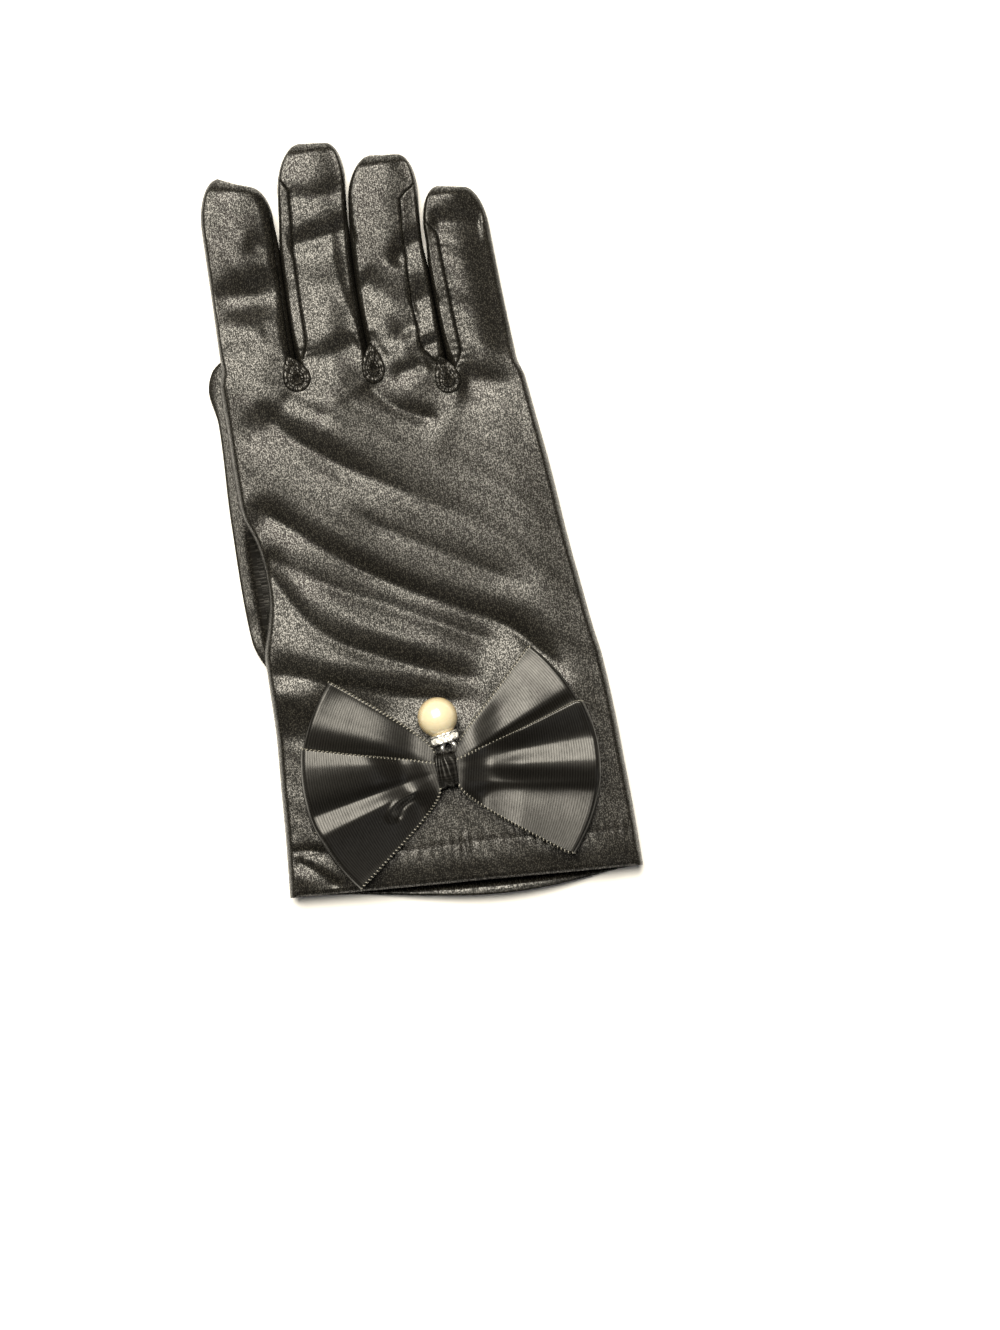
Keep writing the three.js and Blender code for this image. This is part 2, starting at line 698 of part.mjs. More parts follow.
addPiece("bow_back_ribbon", toGeometry(makeRibbon(back, backFloor, 0.4)), ribbonSatin);
addPiece("bow_front_ribbon", toGeometry(makeRibbon(front, frontFloor, 1)), ribbonSatin);
const knotBand = addPiece("bow_knot", makeKnot(), ribbonSatin);
knotBand.position.set(knot.x, knot.y, knotRest() + ribbon + knotInside / 2);

const ornament = new THREE.Group();
glove.add(ornament);
const lean = radians(pearlLean);
const pearlY = knot.y + pearlAbove;
ornament.position.set(knot.x, pearlY, backHeight(knot.x, pearlY) + ribbonRest + pearlDiameter / 2);
ornament.rotation.z = Math.PI + lean;

const pearl = addPiece("pearl", new THREE.SphereGeometry(pearlDiameter / 2, 16, 10), nacre);
const rondelle = makeRondelle();
const loopEnd = (pearlAbove - knotLength / 2 - sewnGap) / Math.cos(lean);
const setting = addPiece("pearl_rondelle", toGeometry(rondelle.solid.add(wireLoop(loopEnd))), silver);
ornament.add(pearl, setting);

// The origin is the middle of the glove's footprint, on the table.
const box = new THREE.Box3().setFromObject(glove);
glove.position.set(-(box.min.x + box.max.x) / 2, -(box.min.y + box.max.y) / 2, -box.min.z);

export default glove;
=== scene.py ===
# %% [markdown]
# # A wrist length dress glove
#
# A black satin glove lies palm down on a pale table, with its thumb folded under the palm.
# A double ribbon bow is sewn over the cuff, and a pearl in a stone-set rondelle lies above its knot.
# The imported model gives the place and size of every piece. This script gives each piece the shape
# and finish of real cloth, ribbon, pearl and metal.

import bpy
import numpy as np
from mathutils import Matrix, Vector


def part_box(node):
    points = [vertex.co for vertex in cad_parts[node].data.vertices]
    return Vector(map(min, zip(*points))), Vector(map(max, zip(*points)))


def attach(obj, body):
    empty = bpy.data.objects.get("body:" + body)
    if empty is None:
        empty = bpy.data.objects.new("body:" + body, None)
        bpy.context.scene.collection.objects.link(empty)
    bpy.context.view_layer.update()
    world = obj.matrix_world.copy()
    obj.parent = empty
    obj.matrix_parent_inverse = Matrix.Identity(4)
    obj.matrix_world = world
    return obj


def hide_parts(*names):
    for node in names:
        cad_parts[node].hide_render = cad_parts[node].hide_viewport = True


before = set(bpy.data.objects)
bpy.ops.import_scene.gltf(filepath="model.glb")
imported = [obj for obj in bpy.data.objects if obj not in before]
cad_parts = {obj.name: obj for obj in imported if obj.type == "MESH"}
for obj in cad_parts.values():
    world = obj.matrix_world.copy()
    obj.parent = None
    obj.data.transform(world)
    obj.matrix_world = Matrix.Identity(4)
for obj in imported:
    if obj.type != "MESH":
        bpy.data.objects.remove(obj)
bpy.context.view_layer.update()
MM = 0.001

# %% [markdown]
# The glove is drawn in its own frame, in millimetres: x runs across the hand from the thumb side,
# y from the hem to the fingertips and z up from the table. The knot of the bow is a fixed point of
# that frame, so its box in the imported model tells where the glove's origin lies.

# %% The glove's own frame
KNOT = np.array([0.9, 28.3])
knot_low, knot_high = (np.array(corner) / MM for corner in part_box("bow_knot"))
ORIGIN = np.append((knot_low + knot_high)[:2] / 2 - KNOT, 0.0)
print("glove origin in the packed frame, mm:", ORIGIN.round(2))


def smooth(t):
    """Ease from 0 to 1 as t goes from 0 to 1: three t squared less two t cubed."""
    t = np.clip(t, 0, 1)
    return t * t * (3 - 2 * t)


def mix(a, b, t):
    """The value a share t of the way from a to b."""
    return a + (b - a) * t


def round_up(t):
    """A quarter circle from 0 to 1: the height of a rounded edge at t of its run."""
    return np.sqrt(1 - (1 - np.clip(t, 0, 1)) ** 2)


def bell(t):
    """A bell curve: 1 at 0, and falling off on both sides as exp of minus t squared."""
    return np.exp(-(t**2))


def wave(distance, pitch, shift=0.0):
    """A sine that repeats after each pitch, moved on by shift."""
    return np.sin(distance * 2 * np.pi / pitch + shift)


def turns(count):
    """This many angles at equal steps, once round."""
    return np.linspace(0, 2 * np.pi, count + 1)[:-1]


def stacked(*parts):
    """Arrays stretched to one shape and stacked as the coordinates of points."""
    return np.stack(np.broadcast_arrays(*parts), -1)


def unit(vectors):
    """Vectors of length 1. The tiny number keeps a vector of no length from dividing by 0."""
    return vectors / (np.linalg.norm(vectors, axis=-1, keepdims=True) + 1e-9)


def closed(grid):
    """A grid with its first column once more at its end, which closes its rings."""
    return np.concatenate([grid, grid[:, :1]], 1)


def table_curve(at, values):
    """A smooth curve through a table. Each stretch is a cubic whose end slopes are the slopes
    between the neighbouring rows."""
    at, values = np.array(at, float), np.array(values, float)
    low = np.maximum(np.arange(len(at)) - 1, 0)
    high = np.minimum(np.arange(len(at)) + 1, len(at) - 1)
    slopes = (values[high] - values[low]) / (at[high] - at[low])

    def curve(t):
        t = np.clip(t, at[0], at[-1])
        i = np.clip(np.searchsorted(at, t) - 1, 0, len(at) - 2)
        step = at[i + 1] - at[i]
        s = (t - at[i]) / step
        rise = (2 * s**3 - 3 * s**2 + 1) * values[i] + (s**3 - 2 * s**2 + s) * slopes[i] * step
        return rise + (3 * s**2 - 2 * s**3) * values[i + 1] + (s**3 - s**2) * slopes[i + 1] * step

    return curve


# %% [markdown]
# Every piece is a grid of points worked out as whole arrays, so one helper turns grids into a mesh.
# Each grid point also has a place on the cloth, in millimetres along and across the thread, which
# goes into a UV map, so that a weave follows the cloth round every fold.

# %% Grids to meshes
UV_PER_MM = 0.01


def grid_faces(rows, columns, start, flip, wrap):
    """Quads between neighbouring grid points. With wrap the last row joins the first."""
    r = np.arange(rows if wrap else rows - 1)[:, None]
    c = np.arange(columns - 1)[None, :]
    below, above = r * columns, ((r + 1) % rows) * columns
    quads = np.stack([below + c, below + c + 1, above + c + 1, above + c], -1).reshape(-1, 4)
    return start + (quads[:, ::-1] if flip else quads)


def mesh_object(name, points, faces, cloth_mm=None):
    """An object of these points, in millimetres, and faces, with its place in its mesh."""
    mesh = bpy.data.meshes.new(name)
    corners = np.concatenate([np.ravel(part) for part in faces]).astype(np.int32)
    sizes = np.concatenate([np.full(len(part), part.shape[1]) for part in faces])
    mesh.vertices.add(len(points))
    mesh.vertices.foreach_set("co", ((points + ORIGIN) * MM).ravel())
    mesh.loops.add(len(corners))
    mesh.loops.foreach_set("vertex_index", corners)
    mesh.polygons.add(len(sizes))
    mesh.polygons.foreach_set("loop_start", np.cumsum(sizes) - sizes)
    mesh.polygons.foreach_set("use_smooth", np.ones(len(sizes), bool))
    if cloth_mm is not None:
        layer = mesh.uv_layers.new(name="cloth")
        layer.data.foreach_set("uv", cloth_mm[corners, :2].ravel() * UV_PER_MM)
        # the third number of each cloth place is painted shade, which the knit's material reads
        painted_shade = mesh.attributes.new("painted_shade", "FLOAT", "POINT")
        painted_shade.data.foreach_set("value", cloth_mm[:, 2])
    mesh.update(calc_edges=True)
    mesh.validate()
    thing = bpy.data.objects.new(name, mesh)
    bpy.context.collection.objects.link(thing)
    return thing


def weld(thing, within_mm=0.002):
    """Join the points that lie together, so that neighbouring grids become one surface."""
    modifier = thing.modifiers.new("weld", "WELD")
    modifier.merge_threshold = within_mm * MM
    bpy.context.view_layer.update()
    joined = bpy.data.meshes.new_from_object(thing.evaluated_get(bpy.context.evaluated_depsgraph_get()))
    thing.modifiers.clear()
    thing.data = joined
    return thing


def from_grids(name, grids):
    """One welded object from a list of (points, cloth places, flip, wrap). A cloth place may have a third
    number, the painted shade: 1 where shade is painted in, as in the bottom of a seam, where no light
    gets in, and 0 outside it."""
    points, places, faces, start = [], [], [], 0
    for grid, place, flip, wrap in grids:
        rows, columns = grid.shape[:2]
        points.append(grid.reshape(-1, 3))
        place = place.reshape(rows * columns, -1)
        places.append(np.pad(place, ((0, 0), (0, 3 - place.shape[1]))))
        faces.append(grid_faces(rows, columns, start, flip, wrap))
        start += rows * columns
    return weld(mesh_object(name, np.concatenate(points), faces, np.concatenate(places)))


def thicken(thing, wall_mm, offset):
    """Give a single sheet of cloth its real thickness. Offset -1 lets the wall grow inwards only."""
    wall = thing.modifiers.new("wall", "SOLIDIFY")
    wall.thickness = wall_mm * MM
    wall.offset = offset
    wall.use_even_offset = False
    wall.use_quality_normals = True
    return thing


def finish_piece(thing, material, slot, *nodes):
    """Put the material on, let the piece ride with the glove, and hide the solids that it stands for. The
    slot argument is not used."""
    thing.data.materials.clear()
    thing.data.materials.append(material)
    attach(thing, "root")
    if nodes:
        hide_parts(*nodes)
    print(thing.name, len(thing.data.polygons), "faces before its modifiers")
    return thing


def sewn(name, grids, wall_mm, material, slot, *nodes, offset=-1.0):
    """A finished piece of cloth from its grids, with a wall."""
    return finish_piece(thicken(from_grids(name, grids), wall_mm, offset), material, slot, *nodes)


# %% [markdown]
# A material is a small network of nodes. Written as Python expressions it reads like the maths
# that it is: a wrapped socket can be added, multiplied and compared, and each operator adds the
# Math node that does it.

# %% Shader maths
class Value:
    """A socket in a shader, with operators that add Math nodes."""

    def __init__(self, maker, socket):
        self.maker, self.socket = maker, socket

    def _math(self, operation, *others):
        return self.maker.node("ShaderNodeMath", {"operation": operation}, self, *others)

    def __add__(self, other):
        return self._math("ADD", other)

    __radd__ = __add__

    def __sub__(self, other):
        return self._math("SUBTRACT", other)

    def __rsub__(self, other):
        return self.maker.node("ShaderNodeMath", {"operation": "SUBTRACT"}, other, self)

    def __mul__(self, other):
        return self._math("MULTIPLY", other)

    __rmul__ = __mul__

    def __pow__(self, other):
        return self._math("POWER", other)

    def sine(self):
        return self._math("SINE")

    def clamp(self):
        return self.maker.node("ShaderNodeClamp", {}, self)

    def above(self, low, high):
        """0 below low, 1 above high, and a smooth step between."""
        settings = {"interpolation_type": "SMOOTHSTEP"}
        return self.maker.node("ShaderNodeMapRange", settings, self, low, high, 0.0, 1.0)


class Maker:
    """Makes one material's nodes. The shader is a Principled BSDF."""

    def __init__(self, name):
        self.material = bpy.data.materials.new(name)
        self.material.use_nodes = True
        self.tree = self.material.node_tree
        self.shader = self.tree.nodes["Principled BSDF"]

    def _feed(self, socket, value):
        if isinstance(value, Value):
            self.tree.links.new(value.socket, socket)
        elif value is not None:
            socket.default_value = value

    def node(self, kind, settings, *values, output=0, **named):
        """Any node: its settings first, then the values or links of its sockets in order or by name."""
        made = self.tree.nodes.new(kind)
        for key, value in settings.items():
            setattr(made, key, value)
        for socket, value in zip([s for s in made.inputs if s.enabled], values):
            self._feed(socket, value)
        for key, value in named.items():
            self._feed(made.inputs[key.replace("_", " ")], value)
        return Value(self, made.outputs[output])

    def cloth(self):
        """Across and along the cloth in millimetres, from the piece's UV map, as a vector."""
        place = self.node("ShaderNodeUVMap", {"uv_map": "cloth"})
        return self.node("ShaderNodeVectorMath", {"operation": "SCALE"}, place, Scale=1 / UV_PER_MM)

    def stretched(self, vector, across, along):
        """A copy of a cloth place measured in cells of this size in millimetres."""
        size = (1 / across, 1 / along, 1.0)
        return self.node("ShaderNodeVectorMath", {"operation": "MULTIPLY"}, vector, size)

    def noise(self, vector, scale=1.0, detail=1.0):
        return self.node("ShaderNodeTexNoise", {}, Vector=vector, Scale=scale, Detail=detail)

    def solid_noise(self, scale, detail):
        """Noise through the solid, at the piece's own coordinates in metres."""
        return self.noise(self.node("ShaderNodeTexCoord", {}, output="Object"), scale, detail)

    def colour(self, share, first, second):
        """A colour between two, by a share from 0 to 1."""
        made = self.tree.nodes.new("ShaderNodeMix")
        made.data_type = "RGBA"
        self._feed(made.inputs["Factor"], share)
        self._feed(made.inputs[6], (*first, 1.0))
        self._feed(made.inputs[7], (*second, 1.0))
        return Value(self, made.outputs[2])

    def bump(self, height, distance_mm, strength):
        deep = distance_mm * MM
        return self.node("ShaderNodeBump", {}, Strength=strength, Distance=deep, Height=height)

    def surface(self, **sockets):
        """Set or link the shader's own sockets."""
        for key, value in sockets.items():
            self._feed(self.shader.inputs[key.replace("_", " ")], value)
        return self.material


# %% [markdown]
# The glove is a fine satin knit. Its ribs run along the fingers, about 0.6 mm apart, and each
# stitch that faces the light glints by itself, so the surface looks like brushed metal with a grain.
# A small cell with a chance of its own stands for each stitch, and a sine across gives the ribs.
# Smooth noise could give the glints too, but it melts them into soft spots.

# %% The satin knit
KNIT_DARK, KNIT_LIGHT = (0.003, 0.0027, 0.0022), (0.06, 0.055, 0.043)
RIB_MM, WEFT_MM = 0.58, 0.66
STITCH_CELL = (0.2, 0.24)


def satin_knit(name, shine):
    """Black satin knit. Each stitch is a cell with a chance of its own, which sets its tone and how much
    of the smooth coat of its thread shows. A sine across the knit draws the ribs. The mesh's painted
    shade attribute darkens both tone and coat, as painted shade in seams, stitch lines, the eyes and the
    thumb's slot."""
    m = Maker(name)
    place = m.cloth()
    cell = m.node("ShaderNodeVectorMath", {"operation": "FLOOR"}, m.stretched(place, *STITCH_CELL))
    chance = m.node("ShaderNodeTexWhiteNoise", {"noise_dimensions": "2D"}, Vector=cell)
    fine = m.noise(m.stretched(place, 0.3, 0.55))
    across = m.node("ShaderNodeSeparateXYZ", {}, place)
    rib = (across * (2 * np.pi / RIB_MM)).sine() * 0.5 + 0.5
    # painted shade: the mesh's attribute darkens the tone and the coat where shade falls, in seams,
    # stitch lines and hollows
    painted_shade = m.node("ShaderNodeAttribute", {"attribute_name": "painted_shade"}, output="Fac")
    painted_shade_factor = 1.0 - painted_shade * 0.92
    tone = (chance**6.0 * 0.5 + rib * 0.04).clamp() * painted_shade_factor
    shown = (chance**4.0 * 1.5 + rib * 0.16 + 0.04).clamp() * painted_shade_factor * shine
    return m.surface(
        Base_Color=m.colour(tone, KNIT_DARK, KNIT_LIGHT),
        Roughness=0.6,
        Specular_IOR_Level=0.06,
        Coat_Weight=shown,
        Coat_IOR=1.6,
        Coat_Roughness=0.29,
        Normal=m.bump(rib * 0.5 + fine, 0.06, 0.22),
    )


knit = satin_knit("black satin knit", 1.0)
gusset_knit = satin_knit("gusset satin knit", 0.95)


# %% [markdown]
# Satin ribbon is woven, not knitted: its weft runs from edge to edge, and its threads float over
# each other, which gives a smoother sheen than the knit's. Soft lines across the ribbon carry both.

# %% The ribbon satin
def ribbon_satin():
    """Satin ribbon: weft lines 0.66 mm apart from edge to edge, each a sine that wanders with a slow
    noise. The lines share out the smooth coat of the floats, and a fine noise breaks them up."""
    m = Maker("black satin ribbon")
    dark, light = (0.0012, 0.0011, 0.0009), (0.01, 0.0092, 0.0078)
    place = m.cloth()
    along = m.node("ShaderNodeSeparateXYZ", {}, place, output="Y")
    wander = m.noise(m.stretched(place, 14.0, 5.0))
    weft = ((along * (2 * np.pi / WEFT_MM)) + wander * 1.5).sine() * 0.5 + 0.5
    float_noise = m.noise(m.stretched(place, 1.6, 0.3))
    patch = m.noise(m.stretched(place, 7.0, 4.0), 1.0, 2.0)
    return m.surface(
        Base_Color=m.colour((weft * 0.5 + float_noise * 0.4).clamp(), dark, light),
        Roughness=0.5,
        Specular_IOR_Level=0.05,
        Coat_Weight=(weft * 0.36 + float_noise * 0.5 + patch * 0.3 - 0.08).clamp(),
        Coat_IOR=1.55,
        Coat_Roughness=0.3,
        Normal=m.bump(weft * 0.6 + float_noise, 0.03, 0.25),
    )


ribbon_cloth = ribbon_satin()


def plain_thread(name, colour, rough):
    """Twisted thread, with a fine ply in its relief."""
    m = Maker(name)
    ply = m.solid_noise(2600.0, 1.0)
    return m.surface(
        Base_Color=m.colour(ply, tuple(0.6 * c for c in colour), colour),
        Roughness=rough,
        Normal=m.bump(ply, 0.05, 0.5),
        Specular_IOR_Level=0.6,
    )


# the selvedge thread is light grey: a painted highlight for the light that the small picot loops catch
painted_highlight_selvedge_thread = plain_thread("selvedge thread", (0.26, 0.25, 0.215), 0.38)
stitch_thread = plain_thread("stitching thread", (0.02, 0.018, 0.015), 0.5)

# %% [markdown]
# ## The hand
#
# The hand is a flat bag with four finger tubes. Seen from above it is four strips that lie side by
# side up to the finger roots and part there. Its outline comes from two short tables: the sides of
# the palm, and the line of the finger roots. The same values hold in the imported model, so the cloth
# lies where the solid is.

# %% Sizes of the hand
HAND_LENGTH, PALM_WIDTH, THICK = 126.0, 82.0, 9.4
FINGER_WIDTH, FINGER_THICK, LONGEST_FINGER = 17.6, 9.2, 58.5
SIDE_ROUND, EDGE_HEIGHT, UNDER_ROUND = 8.5, 3.4, 4.0
EDGE_FOLD, CROWN, SIDE_FADE = 1.5, 11.0, 2.5
TIP_ROUND, TIP_FLAT, ROOT_EASE = 11.0, 0.36, 5.0
HEM_SLOPE, LIP = 0.08, 3.8
THUMB_LENGTH, THUMB_WIDTH, THUMB_THICK = 83.0, 17.0, 2.6
HAND_WALL, GUSSET_WALL, EYE_WALL, KNOT_WALL = 0.5, 0.45, 0.3, 0.4
THUMB_ACROSS, THUMB_ROOT, THUMB_REST, THUMB_MARGIN, THUMB_FALL = -33.2, 57.0, 0.3, 1.5, 14.0
BACK_FALL = 46.0

# rows of: along the palm, left side, right side
SIDES = np.array([
    (0, -0.529, 0.551), (0.12, -0.51, 0.552), (0.215, -0.498, 0.55), (0.32, -0.484, 0.547),
    (0.43, -0.478, 0.538), (0.478, -0.475, 0.528), (0.524, -0.454, 0.52), (0.58, -0.434, 0.512),
    (0.643, -0.432, 0.502), (0.7, -0.446, 0.495), (0.75, -0.47, 0.49), (0.83, -0.473, 0.481),
    (0.92, -0.47, 0.467), (1, -0.47, 0.455),
])
left_side = table_curve(SIDES[:, 0], SIDES[:, 1] * PALM_WIDTH)
right_side = table_curve(SIDES[:, 0], SIDES[:, 2] * PALM_WIDTH)

# how each finger's top leans to the right, and how wide its left and right side folds are in mm
ROLLS = {
    "index": (0.02, 0.9, 3.0),
    "middle": (0.03, 0.7, 0.9),
    "ring": (0.02, 0.8, 0.8),
    "little": (0.19, 0.7, 1.8),
}

# across the palm, along the hand
ROOTS = np.array([(0, 1.045), (0.27, 1.042), (0.503, 1.027), (0.757, 0.988), (1, 0.968)])
ROOT_X = mix(left_side(1.0), right_side(1.0), ROOTS[:, 0])
ROOT_Y = ROOTS[:, 1] * HAND_LENGTH

FINGERS = [
    # length and width as shares, tip and bow as shares of the palm, seams as shares of a finger
    dict(name="index", length=0.872, width=1.034, tip=-0.327, bow=0, seams=(0, 0.04), slant=-1.6),
    dict(name="middle", length=1, width=0.977, tip=-0.068, bow=-0.02, seams=(0.17, 0.04), slant=-0.4),
    dict(name="ring", length=0.957, width=1, tip=0.141, bow=-0.022, seams=(0.04, 0.26), slant=-0.4),
    dict(name="little", length=0.838, width=0.925, tip=0.326, bow=-0.004, seams=(0.17, 0), slant=-0.6),
]

# %% [markdown]
# Satin shows its form by its folds. Each fold is a short curve with a width and a depth: the cloth
# sinks along the curve like a soft furrow, and a negative depth raises a ridge. The long furrows
# run down across the hand from the thumb side, where the thumb under the palm pulls the cloth.

# %% Folds and dents
def roll(above, below, depth, fade, *points):
    """A fold: the width of the roll above its line, the reach of the slow rise below it, its depth,
    how far each end takes to fade out, and the points of its line from left to right, all in mm."""
    return dict(above=above, below=below, depth=depth, fade=fade, points=points)


def dent(soft, depth, fade, *points):
    """A dent that is as soft on both sides of its line."""
    return dict(soft=soft, depth=depth, fade=fade, points=points)


FOLDS = [
    roll(8.0, 6.5, 1.7, (8, 60),
        (-30.1, 127.7), (-26.5, 121.2), (-22.3, 116.5), (-10.2, 106.6), (5.4, 96.7), (26, 84)),
    roll(7.0, 6.5, 1.9, (8, 13),
        (-37.5, 103), (-28.2, 95.4), (-15.6, 84.4), (-2.7, 75.5),
        (10.5, 68.1), (22.3, 61), (30.2, 52), (37, 44)),
    roll(8.0, 7.0, 0.6, (14, 14), (-14.4, 99.5), (-7, 92.4), (12.7, 80.2), (32.3, 68)),
    roll(8.0, 5.0, 1.0, (6, 10), (-37.5, 91.5), (-23.5, 80.8), (-3.8, 69.4), (16.2, 58.9), (24, 55)),
    roll(7.0, 5.0, 1.6, (3, 10), (-36.5, 89), (-29.7, 74.6), (-21.8, 65.6), (-5.9, 57), (16, 48)),
    roll(7.0, 4.5, 1.4, (6, 10), (-41, 60.8), (-31.3, 57.2), (-14.2, 51.2), (0, 46.5), (14, 43)),
    roll(4.5, 3.0, 1.2, (2, 5), (-1.9, 127.4), (-0.5, 124.6), (3.7, 120.1), (9, 117), (15.5, 114.2)),
    roll(3.2, 2.4, 0.6, (3, 4), (-23.8, 128.4), (-20.1, 124.8), (-16.2, 122.2), (-11.5, 119.6)),
    roll(8.0, 6.0, 1.0, (5, 6), (20, 121.6), (26.6, 118.4), (33.5, 116.1), (41, 114)),
    roll(2.2, 1.4, 0.9, (1, 3), (-44, 14.8), (-38, 14.6), (-31.5, 13)),
    roll(2.4, 1.8, 1.1, (3, 3), (-41.5, 13.4), (-36, 9.2), (-29.5, 3.2)),
    # on the index finger
    dent(5.4, 1.7, (7, 8), (-39, 154.5), (-33.5, 153), (-28.5, 152.6), (-23, 153.5), (-16, 156.5)),
    dent(4.0, 0.84, (5, 7), (-38, 142), (-31.2, 141), (-24, 138)),
    dent(3.0, 0.84, (4, 1), (-27, 167), (-20.7, 164.5), (-17, 164.5)),
    # on the middle finger
    dent(2.8, 0.63, (3, 2), (-15, 176.3), (-6.4, 175), (1.5, 176.2)),
    dent(3.0, 1.26, (2, 1), (-16, 164), (-9.3, 164.6), (-4.1, 165.4), (1.6, 166.4)),
    roll(4.0, 2.0, -0.5, (4, 5),
        (-4.4, 171), (-4.5, 163.1), (-4.9, 158.7), (-4.4, 152.3), (-3, 145.7), (-1.2, 137)),
    dent(3.4, 1.0, (3, 2), (-18.4, 136.5), (-12.2, 135), (-7, 136), (-2, 138)),
    # on the ring finger
    dent(2.5, 1.37, (3, 1), (10.1, 153.5), (12.3, 157.6), (15, 159.4), (18.6, 159.8)),
    dent(3.2, 1.26, (2, 1), (11.6, 144.6), (15.3, 145.4), (19.3, 147)),
    dent(4.2, 1.58, (3, 4), (-1, 152.6), (5, 147.1), (8.7, 142.7), (11, 135)),
    dent(1.6, 1.05, (1.5, 1), (12.4, 133.2), (15.6, 134), (20.2, 134)),
    dent(1.1, 0.73, (1.5, 1), (13, 129), (16.4, 128.4), (20, 128.6)),
    dent(2.0, 0.95, (3, 2), (4, 127.4), (10.6, 128.7), (13, 130)),
    dent(1.4, 0.73, (2, 2), (0.4, 139.6), (2.5, 134.6), (3.6, 131)),
    # on the little finger
    dent(3.0, 0.95, (3, 1), (20, 164.8), (26.5, 162.8), (33.5, 161.6)),
    dent(4.5, 1.47, (4, 2), (20, 125), (28.8, 122.3), (38.6, 122.4)),
]


def along_curve(points, x, y):
    """Signed distance from each (x, y) to a chain of straight steps, positive on its left, and
    how far along it the nearest point lies. The chain is a smooth curve cut into short steps."""
    points = np.array(points, float)
    knots = np.linspace(0, 1, len(points))
    fine = np.linspace(0, 1, 6 * (len(points) - 1) + 1)
    chain = np.stack([table_curve(knots, points[:, k])(fine) for k in (0, 1)], -1)
    start, step = chain[:-1], np.diff(chain, axis=0)
    length = np.hypot(*step.T)
    before = np.concatenate([[0], np.cumsum(length)])
    dx, dy = x[..., None] - start[:, 0], y[..., None] - start[:, 1]
    t = np.clip((dx * step[:, 0] + dy * step[:, 1]) / length**2, 0, 1)
    away = np.hypot(dx - t * step[:, 0], dy - t * step[:, 1])
    left = np.sign(step[:, 0] * dy - step[:, 1] * dx)
    nearest = away.argmin(-1)
    t, away, left = (np.take_along_axis(part, nearest[..., None], -1)[..., 0] for part in (t, away, left))
    return away * left, before[nearest] + t * length[nearest], before[-1]


def streaks(x, y):
    """Low ripples that run down across the hand beside the folds: sines of the distance across
    them, bent by a slow sine of the distance along them."""
    across, along = 0.62 * x + 0.78 * y, 0.78 * x - 0.62 * y
    bent = across + 2.2 * np.sin(along / 17 + 0.4) + 1.1 * np.sin(along / 7.3 + across / 21)
    fine = 0.045 * wave(bent, 5.3, along / 13) * (0.5 + 0.5 * np.sin(along / 11 + across / 9))
    return fine + 0.11 * wave(bent, 12.5, 1.0) * (0.6 + 0.4 * np.sin(along / 15 - across / 19))


def fold_depth(x, y):
    """How far the folds sink the cloth at (x, y). Above its line a fold rolls down like a parabola,
    steepest at the line, and below it the cloth rises again like exp(d / below). A soft dent is
    exp(-(d / soft) squared) on both sides."""
    depth = np.zeros(np.shape(x))
    for fold in FOLDS:
        away, run, length = along_curve(fold["points"], x, y)
        first, last = fold["fade"]
        ends = smooth(run / first) * smooth((length - run) / last)
        if "soft" in fold:
            profile = bell(away / fold["soft"])
        else:
            drop = (1 - np.clip(away / fold["above"], 0, 1)) ** 2
            rise = np.exp(np.minimum(away, 0) / fold["below"])
            profile = mix(rise, drop, smooth(away / 0.9 + 0.5))
        depth += fold["depth"] * ends * (1 + 0.18 * np.sin(run / 6 + length)) * profile
    return depth + streaks(x, y)


# %% [markdown]
# The thumb lies folded flat under the palm, so the cloth above it is lifted and slopes down beside
# it. The back of the hand rises from its side folds like a quarter circle and then stays level, and
# the palm side lies on the table.

# %% Heights of the cloth
def lift(x, y, fall=THUMB_FALL):
    """How far the thumb lifts the cloth: fully over it, then down a smooth slope."""
    end = THUMB_WIDTH / 2
    near = np.clip(y, THUMB_ROOT + end, THUMB_ROOT + THUMB_LENGTH - end)
    past = np.maximum(x - THUMB_ACROSS, 0) - end - THUMB_MARGIN
    beyond = np.hypot(np.clip(x - THUMB_ACROSS, 0, end), y - near) - end - THUMB_MARGIN
    return (THUMB_THICK + THUMB_REST) * (1 - smooth(past / fall)) * (1 - smooth(beyond / THUMB_FALL))


def cloth_height(x, y, edge, on_back, thick=THICK, tip=1.0, fold=EDGE_FOLD, crown=CROWN):
    """Height of the cloth. edge is the distance to the nearest edge, tip a factor near a fingertip,
    fold the width over which the cloth turns up from its side fold, crown the width over which it
    then rises gently."""
    if not on_back:
        return lift(x, y) + EDGE_HEIGHT * (1 - round_up(edge / UNDER_ROUND) * tip)
    up = (0.84 * round_up(edge / fold) + 0.16 * smooth(edge / crown)) * tip
    return lift(x, y, BACK_FALL) + EDGE_HEIGHT + (thick - EDGE_HEIGHT) * up - fold_depth(x, y) * up**2


def lip_reach(across):
    """How far the lip of the palm side stands out past the back's hem: most near the middle."""
    return LIP * np.sin(np.pi * np.clip(across, 0, 1) ** 1.3) ** 1.5


def hem_y(across, on_back):
    """The hem's line, a little slanted. The palm side ends in the lip."""
    x = mix(left_side(0.0), right_side(0.0), across)
    return -HEM_SLOPE * x - (0 if on_back else lip_reach(across))


HEM_WIDTH, STITCH_ROW, LIP_HEIGHT = 8.0, 9.8, 5.2
FINGER_ROWS = 96
PALM_ROWS = np.concatenate([np.linspace(0, 0.1, 26)[:-1], np.linspace(0.1, 1, 126)])[:, None]


def stitch_line(x):
    """How far above the hem its stitches run: on a slow sine."""
    return STITCH_ROW + 0.35 * np.sin(x / 7)


def columns(on_back):
    """Shares of a strip's width, closer together at its two edges. The palm side needs fewer."""
    even = np.linspace(0, 1, (32 if on_back else 8) + 1)
    return 0.6 * (0.5 - 0.5 * np.cos(np.pi * even)) + 0.4 * even


